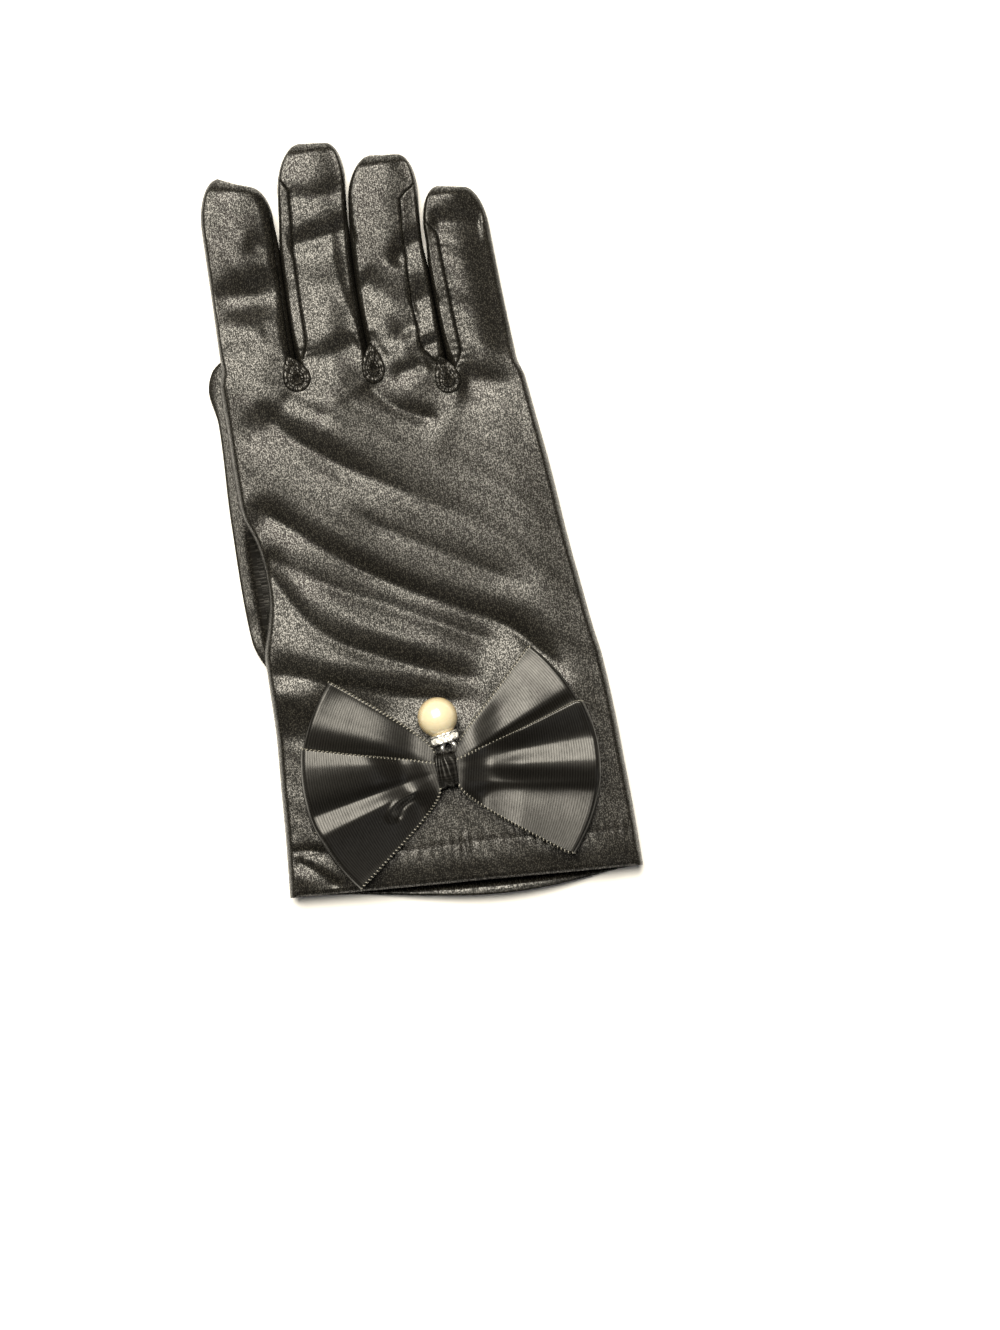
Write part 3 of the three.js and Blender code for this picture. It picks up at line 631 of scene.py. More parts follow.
def hem_detail(x, y, on_back):
    """The turned hem: a rolled rim, and a shallow line where it is stitched 10 mm up, with puckers."""
    above = y - hem_y((x - left_side(0.0)) / (right_side(0.0) - left_side(0.0)), on_back)
    from_line = above - stitch_line(x)
    ripple = 0.16 * wave(x, 2.6, np.sin(x / 3)) * bell(from_line / 2.2)
    groove = -0.06 * bell(from_line / 0.6)
    rim = -0.9 * (1 - smooth(above / 1.1))
    step = -0.7 * smooth((HEM_WIDTH - above) / HEM_WIDTH) ** 2
    return groove + rim + step + ripple


def lip_roll(across, above):
    """The palm side's lip rolls up towards the back of the hand and ends in a level rim. It rises
    like the smooth step between the back's hem, a lip's length in, and the rim."""
    reach = lip_reach(across)
    return LIP_HEIGHT * reach / LIP * smooth((reach - above) / (0.5 * reach + 0.05))


def unrolled(x, edge, side):
    """The cloth's own place across: at a side fold, a quarter circle, it runs on down the side."""
    return x + side * THICK * (1 - round_up(edge / EDGE_FOLD))


def palm_grid(on_back):
    """The palm as one grid: rows from the hem to the finger roots, columns from side to side."""
    strip = columns(on_back)
    x_root, y_root = (
        np.concatenate([mix(root[k], root[k + 1], strip[(k > 0) :]) for k in range(4)])
        for root in (ROOT_X, ROOT_Y)
    )
    across = (x_root - ROOT_X[0]) / (ROOT_X[-1] - ROOT_X[0])
    left, right = left_side(PALM_ROWS), right_side(PALM_ROWS)
    x = mix(left, right, across)
    hem = hem_y(across, on_back)
    y = mix(hem, y_root, PALM_ROWS)
    edge = np.minimum(x - left, right - x)
    for k in (1, 2, 3):
        edge = np.minimum(edge, np.hypot(x - ROOT_X[k], y_root - y))
    z = cloth_height(x, y, edge, on_back)
    above = y - hem
    inside = smooth(edge / SIDE_FADE)
    painted_shade = 0
    if on_back:
        z = z + hem_detail(x, y, on_back) * inside
        # painted shade in dashes along the hem's stitch line, where the stitches sink into the cloth
        dash = smooth(0.5 + 0.9 * wave(x, 1.6, np.sin(x / 3)))
        painted_shade = 0.95 * dash * bell((above - stitch_line(x)) / 0.32) * inside
    else:
        z = z + lip_roll(across, above) * inside
    side = np.sign(2 * x - left - right)
    return stacked(x, y, z), stacked(unrolled(x, edge, side * on_back), y, painted_shade)


# %% [markdown]
# A finger is a band of the same cloth. Its sides are not the cloth of the hand but narrow gussets
# (fourchettes), sewn in with seams that show beside the finger's edge. So the finger's band stops
# at the seams, and the gusset goes on from there round the finger's side. Along each seam the cloth
# turns in, which draws a fine groove, and the stitches gather it into small puckers.

# %% The fingers
def finger_length(k):
    """From the middle of the finger's root to its tip, in mm."""
    return FINGERS[k]["length"] * LONGEST_FINGER


def finger_tip(k):
    """Where along the hand the finger's tip lies, in mm from the hem."""
    return (ROOT_Y[k] + ROOT_Y[k + 1]) / 2 + finger_length(k)


def finger_section(k, s):
    """A finger's middle line, half width and distance to its tip, at share s of its length."""
    f = FINGERS[k]
    length = finger_length(k)
    ease = smooth(s * length / ROOT_EASE)
    full = f["width"] * FINGER_WIDTH / 2
    narrow = TIP_FLAT + (1 - TIP_FLAT) * round_up((1 - s) * length / TIP_ROUND)
    middle = mix((ROOT_X[k] + ROOT_X[k + 1]) / 2, f["tip"] * PALM_WIDTH, s)
    middle = middle + f["bow"] * PALM_WIDTH * 4 * s * (1 - s)
    half = mix((ROOT_X[k + 1] - ROOT_X[k]) / 2, full, ease) * narrow
    return middle, half, (1 - s) * length


GUSSET_END, GUSSET_PAST, SEAM_STITCH = 7.0, 2.5, 1.9
MOST_SWELL, SEAM_FADE = 1.7, 0.3


def seam_inset(k, side, s):
    """How far inside the finger's edge its seam shows, in mm: it starts at the root and runs out
    before the tip."""
    length = finger_length(k)
    out = smooth((1 - s - GUSSET_END / length) * length / 5)
    return FINGERS[k]["seams"][side] * FINGER_WIDTH * smooth(s * 6) * out


def finger_point(k, a, s, on_back):
    """A point of a finger: a from -1 to 1 across it, s from 0 at its root to 1 at its tip."""
    middle, half, from_tip = finger_section(k, s)
    x = middle + a * half
    slant = FINGERS[k]["slant"] * a * s**6
    y = mix(mix(ROOT_Y[k], ROOT_Y[k + 1], (a + 1) / 2), finger_tip(k) + slant, s)
    thick = mix(THICK, FINGER_THICK, smooth(s * 2))
    lean, left_fold, right_fold = ROLLS[FINGERS[k]["name"]]
    grown = smooth(s * 4)
    own_fold = mix(left_fold, right_fold, smooth(a / 0.6 + 0.5))
    if on_back:
        tip = 0.8 * round_up(from_tip / 3.2) + 0.2 * round_up(from_tip / TIP_ROUND)
    else:
        tip = round_up(from_tip / (TIP_ROUND * 0.7))
    edge = half * (1 - np.abs(a))
    fold, crown = mix(EDGE_FOLD, own_fold, grown), mix(CROWN, half, grown)
    z = cloth_height(x, y, edge, on_back, thick, tip, fold, crown)
    if on_back:
        z = z - lean * half * (1 + a) * grown * round_up(edge / 2) * tip
    return x, y, z


def seam_relief(away, y, s, phase):
    """The groove of a seam at a distance, and the puckers beside it. Both grow over the first ninth
    of the finger, and the puckers are larger near its root."""
    groove = -0.22 * bell(away / 0.3)
    gather = 1 + 2.2 * bell(s / 0.13)
    pucker = 0.07 * gather * wave(y, SEAM_STITCH, phase) * bell(away / (1.1 * gather))
    return (groove + pucker) * smooth(s * 9)


def pressed(z, relief, on_back):
    """The cloth's height with a seam's relief, half as deep below, and never under the table."""
    return np.maximum(z + relief * (1 if on_back else -0.5), 0)


def seam_painted_shade(away, y, s):
    """Painted shade in a seam: a thin dark line that closes at each stitch and gapes between them."""
    gape = 0.4 + 0.5 * smooth(0.5 + 0.8 * wave(y, SEAM_STITCH, 0.8 * np.sin(y / 6)))
    return bell(away / 0.2) * smooth(s * 9) * gape


def finger_grid(k, on_back):
    """The band of the hand's own cloth on one side of a finger, from seam to seam."""
    s = np.linspace(0, 1, FINGER_ROWS + 1)[:, None]
    s = 0.45 * np.sin(np.pi / 2 * s) + 0.55 * s
    _, half, _ = finger_section(k, s)
    low = -1 + seam_inset(k, 0, s) / half
    high = 1 - seam_inset(k, 1, s) / half
    a = mix(low, high, columns(on_back)[None, :])
    x, y, z = finger_point(k, a, s, on_back)
    relief, painted_shade = 0, 0
    # each seam adds its groove and puckers, and painted shade along its line
    for side, seam in ((0, low), (1, high)):
        if FINGERS[k]["seams"][side]:
            fades = smooth(seam_inset(k, side, s) / SEAM_FADE)
            away = np.abs(a - seam) * half
            relief = relief + fades * seam_relief(away, y, s, 2.1 * k + side)
            painted_shade = painted_shade + fades * seam_painted_shade(away, y, s)
    across = unrolled(x, (1 - np.abs(a)) * half, np.sign(a) * on_back)
    return stacked(x, y, pressed(z, relief, on_back)), stacked(across, y, painted_shade)


hand_grids = []
for on_back in (True, False):
    parts = [palm_grid(on_back)] + [finger_grid(k, on_back) for k in range(4)]
    hand_grids += [(*part, not on_back, False) for part in parts]
sewn("hand_cloth", hand_grids, HAND_WALL, knit, "satin", "hand")


# %% [markdown]
# ## The gussets
#
# Each gusset is a forked strip: one leg lines the side of each of two neighbouring fingers. Where
# the legs meet in the palm, the cloth is gathered into a small round eye with a rolled rim.

# %% Gusset strips
def finger_side(k, side, y):
    """Where the edge of finger k lies at y: its left edge for side 0, its right edge for side 1."""
    s = np.linspace(0, 1, 200)
    middle, half, _ = finger_section(k, s)
    root = ROOT_Y[k + side]
    return np.interp(y, mix(root, finger_tip(k), s), middle + (2 * side - 1) * half, right=np.nan)


def swell(k, side, y):
    """How far a gusset swells past its finger's edge. Neighbouring gussets swell until they nearly
    touch, half the gap each, and no further than MOST_SWELL."""
    other = k + (1 if side else -1)
    gap = np.abs(finger_side(other, 1 - side, y) - finger_side(k, side, y))
    reach = np.minimum(finger_tip(k), finger_tip(other)) - TIP_ROUND
    return np.nan_to_num(np.clip(gap / 2 + 0.02, 0, MOST_SWELL)) * smooth((reach - y) / 9)


def gusset_grid(k, side):
    """The strip round one side of finger k, from its seam on the back, past the finger's edge, to
    its seam on the palm side."""
    s = np.linspace(0, 1 - (GUSSET_END - GUSSET_PAST) / finger_length(k), 84)[:, None]
    _, half, _ = finger_section(k, s)
    sign = 1 if side else -1
    inset = seam_inset(k, side, s)
    over = np.linspace(-1, 1, 31)[None, :]
    over = np.sin(np.pi / 2 * over) * 0.6 + over * 0.4
    a = sign * (1 - np.abs(over) ** 1.6 * inset / half)
    away = inset * (1 - np.abs(over) ** 1.6)
    fades = smooth(inset / SEAM_FADE)
    grid = []
    for on_back in (True, False):
        x, y, z = finger_point(k, a, s, on_back)
        z = pressed(z, seam_relief(away, y, s, 1.3 * k) * fades, on_back)
        x = x + sign * swell(k, side, y) * bell(over / 0.55) * smooth(s * 8)
        grid.append(stacked(x, y, z))
    grid = np.where((over > 0)[..., None], grid[0], grid[1])
    # painted shade along the seams, and in a band down the middle of the strip, where it turns round the
    # finger's side
    painted_shade = np.maximum(seam_painted_shade(away, grid[..., 1], s) * fades, 0.9 * bell(over / 0.16))
    return grid, stacked(over * 6, grid[..., 1], painted_shade), side == 1, False


# middle of the eye beside the root, half width, reach up and down, lean of its top, number of gathers
EYES = {
    1: (-0.9, -0.2, 3.7, 6.2, 3.6, -1.6, 17),
    2: (0.6, 0.8, 3.1, 6.6, 4.0, 0.4, 15),
    3: (-0.7, -0.4, 3.4, 7.0, 3.4, -1.6, 19),
}


def eye_grid(k):
    """The gathered eye at root k, as a disc of rays. Its outline is a drop whose point leans into the gap
    between the fingers. From the outline, which is sewn down, the cloth swells, dips, and rolls up into a
    small ring round the hollow middle, and the gathers ripple it along the rays. Painted shade darkens
    the middle, the sewn outline and the hollows between the gathers."""
    beside, along, wide, up, down, lean, gathers = EYES[k]
    turn = turns(120)[:, None]
    share = np.linspace(0, 1, 25)[None, :]
    reach = np.where(np.cos(turn) > 0, up, down)
    point = np.maximum(np.cos(turn), 0) ** 2
    x = ROOT_X[k] + beside + share * (wide * np.sin(turn) * (1 - 0.55 * point) + lean * point * share)
    y = ROOT_Y[k] + along + share * reach * np.cos(turn)
    edge = np.hypot(x - ROOT_X[k], np.maximum(ROOT_Y[k] - y, 0))
    base = cloth_height(x, y, np.maximum(edge, 2.4), True)
    rim = 0.3 * bell((share - 0.74) / 0.16)
    ring = 0.42 * bell((share - 0.36) / 0.13)
    hollow = -0.35 * bell(share / 0.16)
    ripple = np.sin(gathers * turn + 1.2 * np.sin(2 * turn + k)) + 0.5 * np.sin(9 * turn + 5 * share)
    gather = 0.07 * ripple * smooth(share / 0.3) * smooth((1 - share) / 0.1)
    z = base + 0.25 + rim + ring + hollow + gather - 0.8 * smooth((share - 0.9) / 0.1)
    # painted shade at the sewn outline, in the middle and between the gathers
    sunk = smooth((share - 0.9) / 0.05)
    painted_shade = np.clip(sunk + bell(share / 0.12) + 0.2 * smooth((-0.6 - ripple) / 0.5), 0, 1)
    return stacked(x, y, z), stacked(x, y, painted_shade), True, True


for k in (1, 2, 3):
    legs = [gusset_grid(k - 1, 1), gusset_grid(k, 0)]
    name = f"{FINGERS[k - 1]['name']}_{FINGERS[k]['name']}"
    sewn(f"fourchette_{name}", legs, GUSSET_WALL, gusset_knit, "satin", f"gusset_{name}")
    sewn(f"gathered_eye_{name}", [eye_grid(k)], EYE_WALL, gusset_knit, "satin")


# %% [markdown]
# ## The thumb
#
# Only the thumb's outer edge shows from above, beside the palm. It is a flat tube with a rounded edge,
# hollowed a little where the palm's edge leaves it, so that a dark slot runs between them. Painted shade
# darkens the slot as well.

# %% The thumb
# rows of: along the thumb, width, shift to the right
THUMB = np.array([
    (0, 0.4, 0.06), (0.05, 0.78, 0.04), (0.14, 1, 0), (0.5, 1, 0),
    (0.8, 0.92, 0.03), (0.9, 0.98, 0), (0.96, 0.78, 0), (1, 0.4, 0.02),
])
thumb_width = table_curve(THUMB[:, 0], THUMB[:, 1] * THUMB_WIDTH)
thumb_shift = table_curve(THUMB[:, 0], THUMB[:, 2] * THUMB_WIDTH)


def thumb_grid():
    """Rings round the thumb. Each is a flat box with rounded edges, the cosine and sine of its turn
    raised to a small power, and near the tip to a larger one, which makes an oval."""
    along = (1 - np.cos(np.pi * np.linspace(0, 1, 110)))[:, None] / 2
    turn = turns(96)[None, :]
    half = thumb_width(along) / 2
    end = round_up(np.minimum(along, 1 - along) * THUMB_LENGTH / 3)
    square = mix(0.24, 0.9, smooth((along - 0.8) / 0.12))
    flat = np.sign(np.cos(turn)) * np.abs(np.cos(turn)) ** square
    high = np.sign(np.sin(turn)) * np.abs(np.sin(turn)) ** square
    x = THUMB_ACROSS + thumb_shift(along) + half * flat * mix(0.55, 1, end)
    y = THUMB_ROOT + along * THUMB_LENGTH
    slot = bell((flat + 0.45) / 0.16) * smooth((along - 0.02) / 0.08) * smooth((0.5 - along) / 0.1)
    wrinkle = 0.12 * np.sin(y / 1.7) * bell((flat + 0.9) / 0.2) * smooth((0.3 - along) / 0.1)
    z = THUMB_THICK / 2 * (1 + high * end) - (1.1 * slot - wrinkle) * (high > 0)
    across = np.linspace(0, 2 * np.pi, 97) * THUMB_WIDTH / 3
    # the slot also goes in as painted shade, which darkens it
    return closed(stacked(x, y, z)), stacked(across, y, closed(slot)), True, False


sewn("thumb_cloth", [thumb_grid()], GUSSET_WALL, knit, "satin", "thumb")


# %% [markdown]
# ## The bow
#
# Two ribbons are each sewn into a closed band, laid flat and pinched at the middle, which makes two
# loops. A loop opens like a fan from the knot to its fold. Across the fan the cloth stands in pleats,
# and each of the four loops has its own, so each has a short table of heights.

# %% Sizes of the bow
RIBBON_WIDTH, RIBBON_WALL, PINCH, KNOT_WIDTH = 38.0, 0.35, 5.6, 5.2
FAN_LENGTH, FOLD_BULGE = 36.0, 0.14
GATHERS, GATHER_HEIGHT, GATHER_END, LEAST_GAP = 9, 0.62, 0.86, 0.4
RIBBON_COLUMNS, LINE_STEPS, FOLD_STEPS, FOLD_OUT = 73, 110, 10, 1.2

# tilt in degrees, reach in mm from the knot to the left and right fold, gap in mm between the layers
# in the knot, the belly and the fold, spread as the powers of each loop's fan at the ribbon's lower
# and upper edge, curl in mm by which each fold sinks, and the pleats of the left and right loop:
# the place across the ribbon from -1 to 1, and the height there in mm
RIBBONS = {
    "back": dict(
        tilt=15.5,
        reach=(36.2, 37.0),
        gap=(0.9, 3.0, 2.6),
        spread=((0.85, 0.62), (0.85, 0.8)),
        curl=(0.2, 1.5),
        left=[(-1, -0.6), (-0.2, -1.1), (0.05, -1.0), (0.38, 0.5), (0.6, 0.45), (0.92, 0.1), (1, 0.25)],
        right=[(-1, 0.2), (-0.1, 0.6), (0.12, 0.2), (0.3, 1.3), (0.6, 0.4), (0.92, -1.25), (1, -1.35)],
    ),
    "front": dict(
        tilt=-13.0,
        reach=(36.0, 38.3),
        gap=(0.9, 5.9, 5.9),
        spread=((0.62, 0.85), (0.66, 0.9)),
        curl=(0.3, 0.0),
        left=[
            (-1, -3.3), (-0.9, -3.05), (-0.5, -1.25), (-0.2, 0.6), (-0.12, 0.65), (0.08, -0.4),
            (0.14, -0.4), (0.33, 1.2), (0.55, 2.0), (0.76, 2.35), (0.9, 2.2), (1, 2.0),
        ],
        right=[
            (-1, -1.72), (-0.6, -1.93), (-0.2, -2.3), (-0.13, -2.2), (0.1, -0.4), (0.19, -0.1),
            (0.27, -0.15), (0.5, -1.35), (0.56, -1.4), (0.63, -1.1), (0.93, 1.2), (1, 1.4),
        ],
    ),
}


# %% [markdown]
# The back ribbon lies on the hand and the front ribbon lies on the back one. Inside the knot the
# four layers are pressed flat on each other, at the height where the knot's solid is.

# %% Where the ribbons lie
LAYER = 1.3
KNOT_FLOOR = knot_low[2] + LAYER


def hand_seat(x, y):
    """The level back of the hand below the bow, rounded off towards the hand's sides."""
    share = np.clip(y / HAND_LENGTH, 0, 1)
    edge = np.maximum(np.minimum(x - left_side(share), right_side(share) - x), 0)
    return lift(x, y) + EDGE_HEIGHT + (THICK - EDGE_HEIGHT) * round_up(edge / SIDE_ROUND) + 0.25


def past_knot(r):
    """How far r lies outside the knot, in mm."""
    return np.abs(r) - KNOT_WIDTH / 2


def fan_half(ribbon, r, v):
    """Half the fan's width at distance r from the knot: a power of the share of the way out. Each
    loop has its own power at either edge of the ribbon."""
    out = np.clip(past_knot(r) / past_knot(FAN_LENGTH), 0, 1)
    left, right = (mix(*powers, (v + 1) / 2) for powers in ribbon["spread"])
    return mix(PINCH / 2, RIBBON_WIDTH / 2, out ** np.where(r < 0, left, right))


def ribbon_plan(ribbon, r, v):
    """Plan place of the ribbon point at r along its middle line and v across it."""
    turn = 2 * smooth((r / KNOT_WIDTH + 1) / 2) - 1
    tilt = np.radians(ribbon["tilt"]) * turn
    bulge = 1 - FOLD_BULGE * v**2 * smooth((np.abs(r) - KNOT_WIDTH) / FAN_LENGTH)
    t = v * fan_half(ribbon, r, v)
    x = KNOT[0] + r * bulge * np.cos(tilt) - t * np.sin(tilt)
    y = KNOT[1] + r * bulge * np.sin(tilt) + t * np.cos(tilt)
    return x, y


def loop_gap(ribbon, r):
    """Height of the upper layer over the lower one, from the knot by way of the loop's belly to its
    fold, and the share of the way out."""
    reach = np.where(r < 0, ribbon["reach"][0], ribbon["reach"][1])
    out = np.clip(past_knot(r) / past_knot(reach), 0, 1)
    knot_gap, belly, fold = ribbon["gap"]
    return mix(mix(knot_gap, belly, smooth(out / 0.5)), fold, smooth((out - 0.5) / 0.5)), out


def pleat_height(ribbon, r, v):
    """The pleats of the two loops, from their tables. They grow out of the knot."""
    _, out = loop_gap(ribbon, r)
    left = table_curve(*np.array(ribbon["left"]).T)(v)
    right = table_curve(*np.array(ribbon["right"]).T)(v)
    grow = smooth(out / 0.45) * mix(1, 0.92, smooth((out - 0.7) / 0.3))
    curl = np.where(r < 0, *ribbon["curl"]) * smooth((out - 0.62) / 0.38)
    return np.where(r < 0, left, right) * grow - curl


def knot_hold(r):
    """How much of the knot's press reaches the ribbon at distance r."""
    return 1 - smooth((past_knot(r) - 1) / 8)


def floor_of(which, x, y, r):
    """Underside of a ribbon: the back one on the hand, the front one on the back one."""
    seat = hand_seat(x, y)
    if which == "back":
        return mix(seat, KNOT_FLOOR, knot_hold(r))
    back = RIBBONS["back"]
    tilt = np.radians(back["tilt"]) * np.where(x < KNOT[0], -1, 1)
    dx, dy = x - KNOT[0], y - KNOT[1]
    s = dx * np.cos(tilt) + dy * np.sin(tilt)
    t = dy * np.cos(tilt) - dx * np.sin(tilt)
    past = np.maximum(np.abs(t) - fan_half(back, s, np.sign(t)), np.abs(s) - FAN_LENGTH)
    past = np.maximum(past, 0)
    under = 1 - smooth((past - 0.5) / 5)
    gap, _ = loop_gap(back, s)
    top = floor_of("back", x, y, s) + gap + 0.7
    return mix(mix(seat, top, under), KNOT_FLOOR + 2 * LAYER, knot_hold(r))


# %% [markdown]
# One closed line runs along a ribbon's lower layer, round the right fold, back along the upper layer
# and round the left fold. The band is that line carried across the ribbon's width. The pinch takes
# in cloth, so the hidden lower layer stands in nine gathers, which hold part of it. A cloth
# simulation would fold the ribbon by itself, but not into the pleats that were pressed here.

# %% Ribbons
def ribbon_line(reach_left, reach_right):
    """r along the ribbon, share of the gap, and how far a fold stands out, for one closed turn."""
    fold = np.linspace(0, np.pi, FOLD_STEPS + 2)[1:-1]
    out = np.linspace(-reach_left + FOLD_OUT, reach_right - FOLD_OUT, LINE_STEPS)
    r = np.concatenate([out, np.full(FOLD_STEPS, out[-1]), out[::-1], np.full(FOLD_STEPS, out[0])])
    share = np.concatenate([0 * out, (1 - np.cos(fold)) / 2, 0 * out + 1, (1 + np.cos(fold)) / 2])
    bulge = np.concatenate([0 * out, np.sin(fold), 0 * out, -np.sin(fold)])
    return r[:, None], share[:, None], bulge[:, None]


def tuck(x, y):
    """The small curled tuck in the front left loop, in mm of height."""
    ridge, run, length = along_curve([(-13.8, 17.2), (-15.2, 19.6), (-12.5, 22.6), (-6.5, 24.6)], x, y)
    hollow, _, _ = along_curve([(-13.0, 18.8), (-11.5, 21.2), (-7.5, 23.2)], x, y)
    ends = smooth(run / 2) * smooth((length - run) / 3)
    return 0.75 * bell(ridge / 0.55) * ends - 0.7 * bell(hollow / 0.7)


def make_ribbon(which):
    """The band as a grid: rows along the closed line, columns across the ribbon. Where a pleat would
    go below the lowest height, the height runs out smoothly: it is the mean of both, plus half the
    root of their squared difference and 1. The gathers are a cosine across the lower layer."""
    ribbon = RIBBONS[which]
    r, share, bulge = ribbon_line(*ribbon["reach"])
    v = np.linspace(-1, 1, RIBBON_COLUMNS)[None, :]
    gap, out = loop_gap(ribbon, r)
    x, y = ribbon_plan(ribbon, r + bulge * np.minimum(gap, 2 * FOLD_OUT) / 2, v)
    at_x, at_y = ribbon_plan(ribbon, r, v)
    floor = floor_of(which, at_x, at_y, r) + RIBBON_WALL
    upper = mix(THICK + 0.5, floor, knot_hold(r)) + gap + pleat_height(ribbon, r, v)
    if which == "front":
        upper = upper + tuck(at_x, at_y)
    lowest = floor + LEAST_GAP
    upper = (upper + lowest + np.sqrt((upper - lowest) ** 2 + 1.0)) / 2
    ends = 1 - smooth((out - GATHER_END) / (1 - GATHER_END))
    gathers = (1 - np.cos(2 * np.pi * GATHERS * (v + 1) / 2)) / 2 * ends
    lower = floor + GATHER_HEIGHT * np.maximum(upper - lowest, 0) * gathers
    grid = stacked(x, y, mix(lower, upper, share))
    middle = grid[:, RIBBON_COLUMNS // 2]
    step = np.linalg.norm(np.diff(middle, axis=0, append=middle[:1]), axis=-1)
    run = np.concatenate([[0], np.cumsum(step)[:-1]])[:, None]
    grids = [(grid, stacked(v * RIBBON_WIDTH / 2, run), False, True)]
    nodes = f"bow_{which}_ribbon"
    band = sewn(f"bow_{which}_cloth", grids, RIBBON_WALL, ribbon_cloth, "ribbon", nodes, offset=0.0)
    return band, grid, float(step.sum())


# %% [markdown]
# Both edges of the ribbon have a woven selvedge with a picot: short slanted stitches a millimetre apart
# that catch the light. Each is a small grain-shaped bead of thread, copied along the edge, and the
# thread's light grey colour is a painted highlight.

# %% Picot edges
# pitch, length and thickness of a grain in mm, and its slant
PICOT = (1.0, 1.0, 0.44, np.radians(62))
HEM_STITCH = (1.5, 1.05, 0.3, np.radians(8))


def grain(length, thick):
    """A grain of thread along x: rings of six points that shrink to its ends."""
    at = np.linspace(-1, 1, 6)[:, None]
    turn = turns(6)[None, :]
    size = np.sqrt(1 - at**2) * thick / 2
    return closed(stacked(at * length / 2, size * np.cos(turn), size * np.sin(turn)))


def grains_along(name, path, inward, pitch, length, thick, slant, material, slot):
    """Grains at equal steps along a path, each turned by slant out of the path's direction."""
    step = np.linalg.norm(np.diff(path, axis=0), axis=-1)
    run = np.concatenate([[0], np.cumsum(step)])
    places = np.arange(pitch / 2, run[-1], pitch)

    def read(line, at):
        return np.stack([np.interp(at, run, line[:, c]) for c in range(3)], -1)

    centre = read(path, places)
    ahead = unit(read(path, places + 0.4) - centre)
    aside = read(inward, places)
    aside = unit(aside - (aside * ahead).sum(-1, keepdims=True) * ahead)
    long_way = ahead * np.cos(slant) + aside * np.sin(slant)
    wide_way = aside * np.cos(slant) - ahead * np.sin(slant)
    ways = np.stack([long_way, wide_way, np.cross(long_way, wide_way)], 1)
    one = grain(length, thick)
    turned = centre[:, None, None] + np.einsum("rck,nkx->nrcx", one, ways)
    rows, columns = one.shape[:2]
    offsets = (np.arange(len(places)) * rows * columns)[:, None, None]
    faces = (grid_faces(rows, columns, 0, False, False) + offsets).reshape(-1, 4)
    thing = mesh_object(name, turned.reshape(-1, 3), [faces])
    return finish_piece(weld(thing, 0.001), material, slot)


for which in ("back", "front"):
    packed = [round(corner[2] / MM, 2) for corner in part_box(f"bow_{which}_ribbon")]
    band, grid, length = make_ribbon(which)
    heights = grid[..., 2]
    print(which, "heights, mm:", heights.min().round(2), heights.max().round(2), "packed:", packed)
    print(f"{which} ribbon: {length:.0f} mm round, {RIBBON_WIDTH:.0f} mm wide")
    for side, column, inner in (("lower", 0, 4), ("upper", -1, -5)):
        edge, within = (np.concatenate([grid[:, c], grid[:1, c]]) for c in (column, inner))
        near = unit(within - edge)
        name = f"picot_{which}_{side}"
        grains_along(name, edge + 0.25 * near, near, *PICOT, painted_highlight_selvedge_thread, "ribbon")
    flat = (RIBBON_WIDTH * MM, length * MM)


# %% [markdown]
# The knot is a narrow ribbon wound over the pinched bow. It is gathered too, so it has deep wrinkles
# that run round it.

# %% The knot
def make_knot():
    """A ring round the ribbons: a rounded box section carried over the knot's width, with wrinkles
    that follow the winding."""
    low, high = knot_low - ORIGIN, knot_high - ORIGIN
    centre = (low + high) / 2
    turn = turns(96)[:, None]
    across = np.linspace(-1, 1, 33)[None, :]
    half_long = (high[1] - low[1]) / 2 - 0.3
    half_high = (high[2] - low[2]) / 2 - 0.2
    c, s = np.cos(turn), np.sin(turn)
    long_way, high_way = (np.sign(part) * np.abs(part) ** 0.6 for part in (c, s))
    y = centre[1] + half_long * long_way * (1 - 0.1 * across**2)
    waist = 1 - 0.16 * smooth(s) * (1 - across**2)
    x = centre[0] + (high[0] - low[0]) / 2 * across * (1 + 0.05 * np.sin(2 * turn)) * waist
    wander = across + 0.22 * np.sin(2.3 * across + 1.5 * turn + 0.4)
    wrinkle = 0.4 * np.sin(5.6 * wander + 0.7 * np.sin(turn)) + 0.15 * np.sin(13 * wander - 0.9 * turn)
    z = centre[2] + half_high * high_way * (1 - 0.12 * across**4) + wrinkle * np.maximum(s, 0) ** 0.5
    y = y + wrinkle * 0.6 * c * np.abs(c)
    grids = [(stacked(x, y, z), stacked(across * 2.6, turn * 4), True, True)]
    sewn("bow_knot_cloth", grids, KNOT_WALL, ribbon_cloth, "ribbon", "bow_knot")


make_knot()

# %% [markdown]
# ## The stitching
#
# The hem is turned up and held by one row of stitches, 10 mm above its edge. Each stitch sinks into
# the cloth, which lies in a shallow line there.

# %% Hem stitches
HEM_SHARE = 0.08
hem_left, hem_right = left_side(HEM_SHARE), right_side(HEM_SHARE)
across = np.linspace(0.03, 0.97, 400)
hem_x = mix(hem_left, hem_right, across)
stitch_y = hem_y(across, True) + stitch_line(hem_x)
edge = np.minimum(hem_x - hem_left, hem_right - hem_x)
stitch_z = cloth_height(hem_x, stitch_y, edge, True)
stitch_z = stitch_z + hem_detail(hem_x, stitch_y, True) * smooth(edge / SIDE_FADE)
hem_path = stacked(hem_x, stitch_y, stitch_z + 0.05)
sideways = np.tile([0.0, 1.0, 0.0], (len(hem_path), 1))
grains_along("hem_stitches", hem_path, sideways, *HEM_STITCH, stitch_thread, "satin")


# %% [markdown]
# ## The pearl and its setting
#
# The pearl is a cream lacquered bead. Its colour carries a painted sheen and painted shade by the angle
# of view: almost white where it faces the camera, which looks down, and deeper and warmer towards the
# rim.

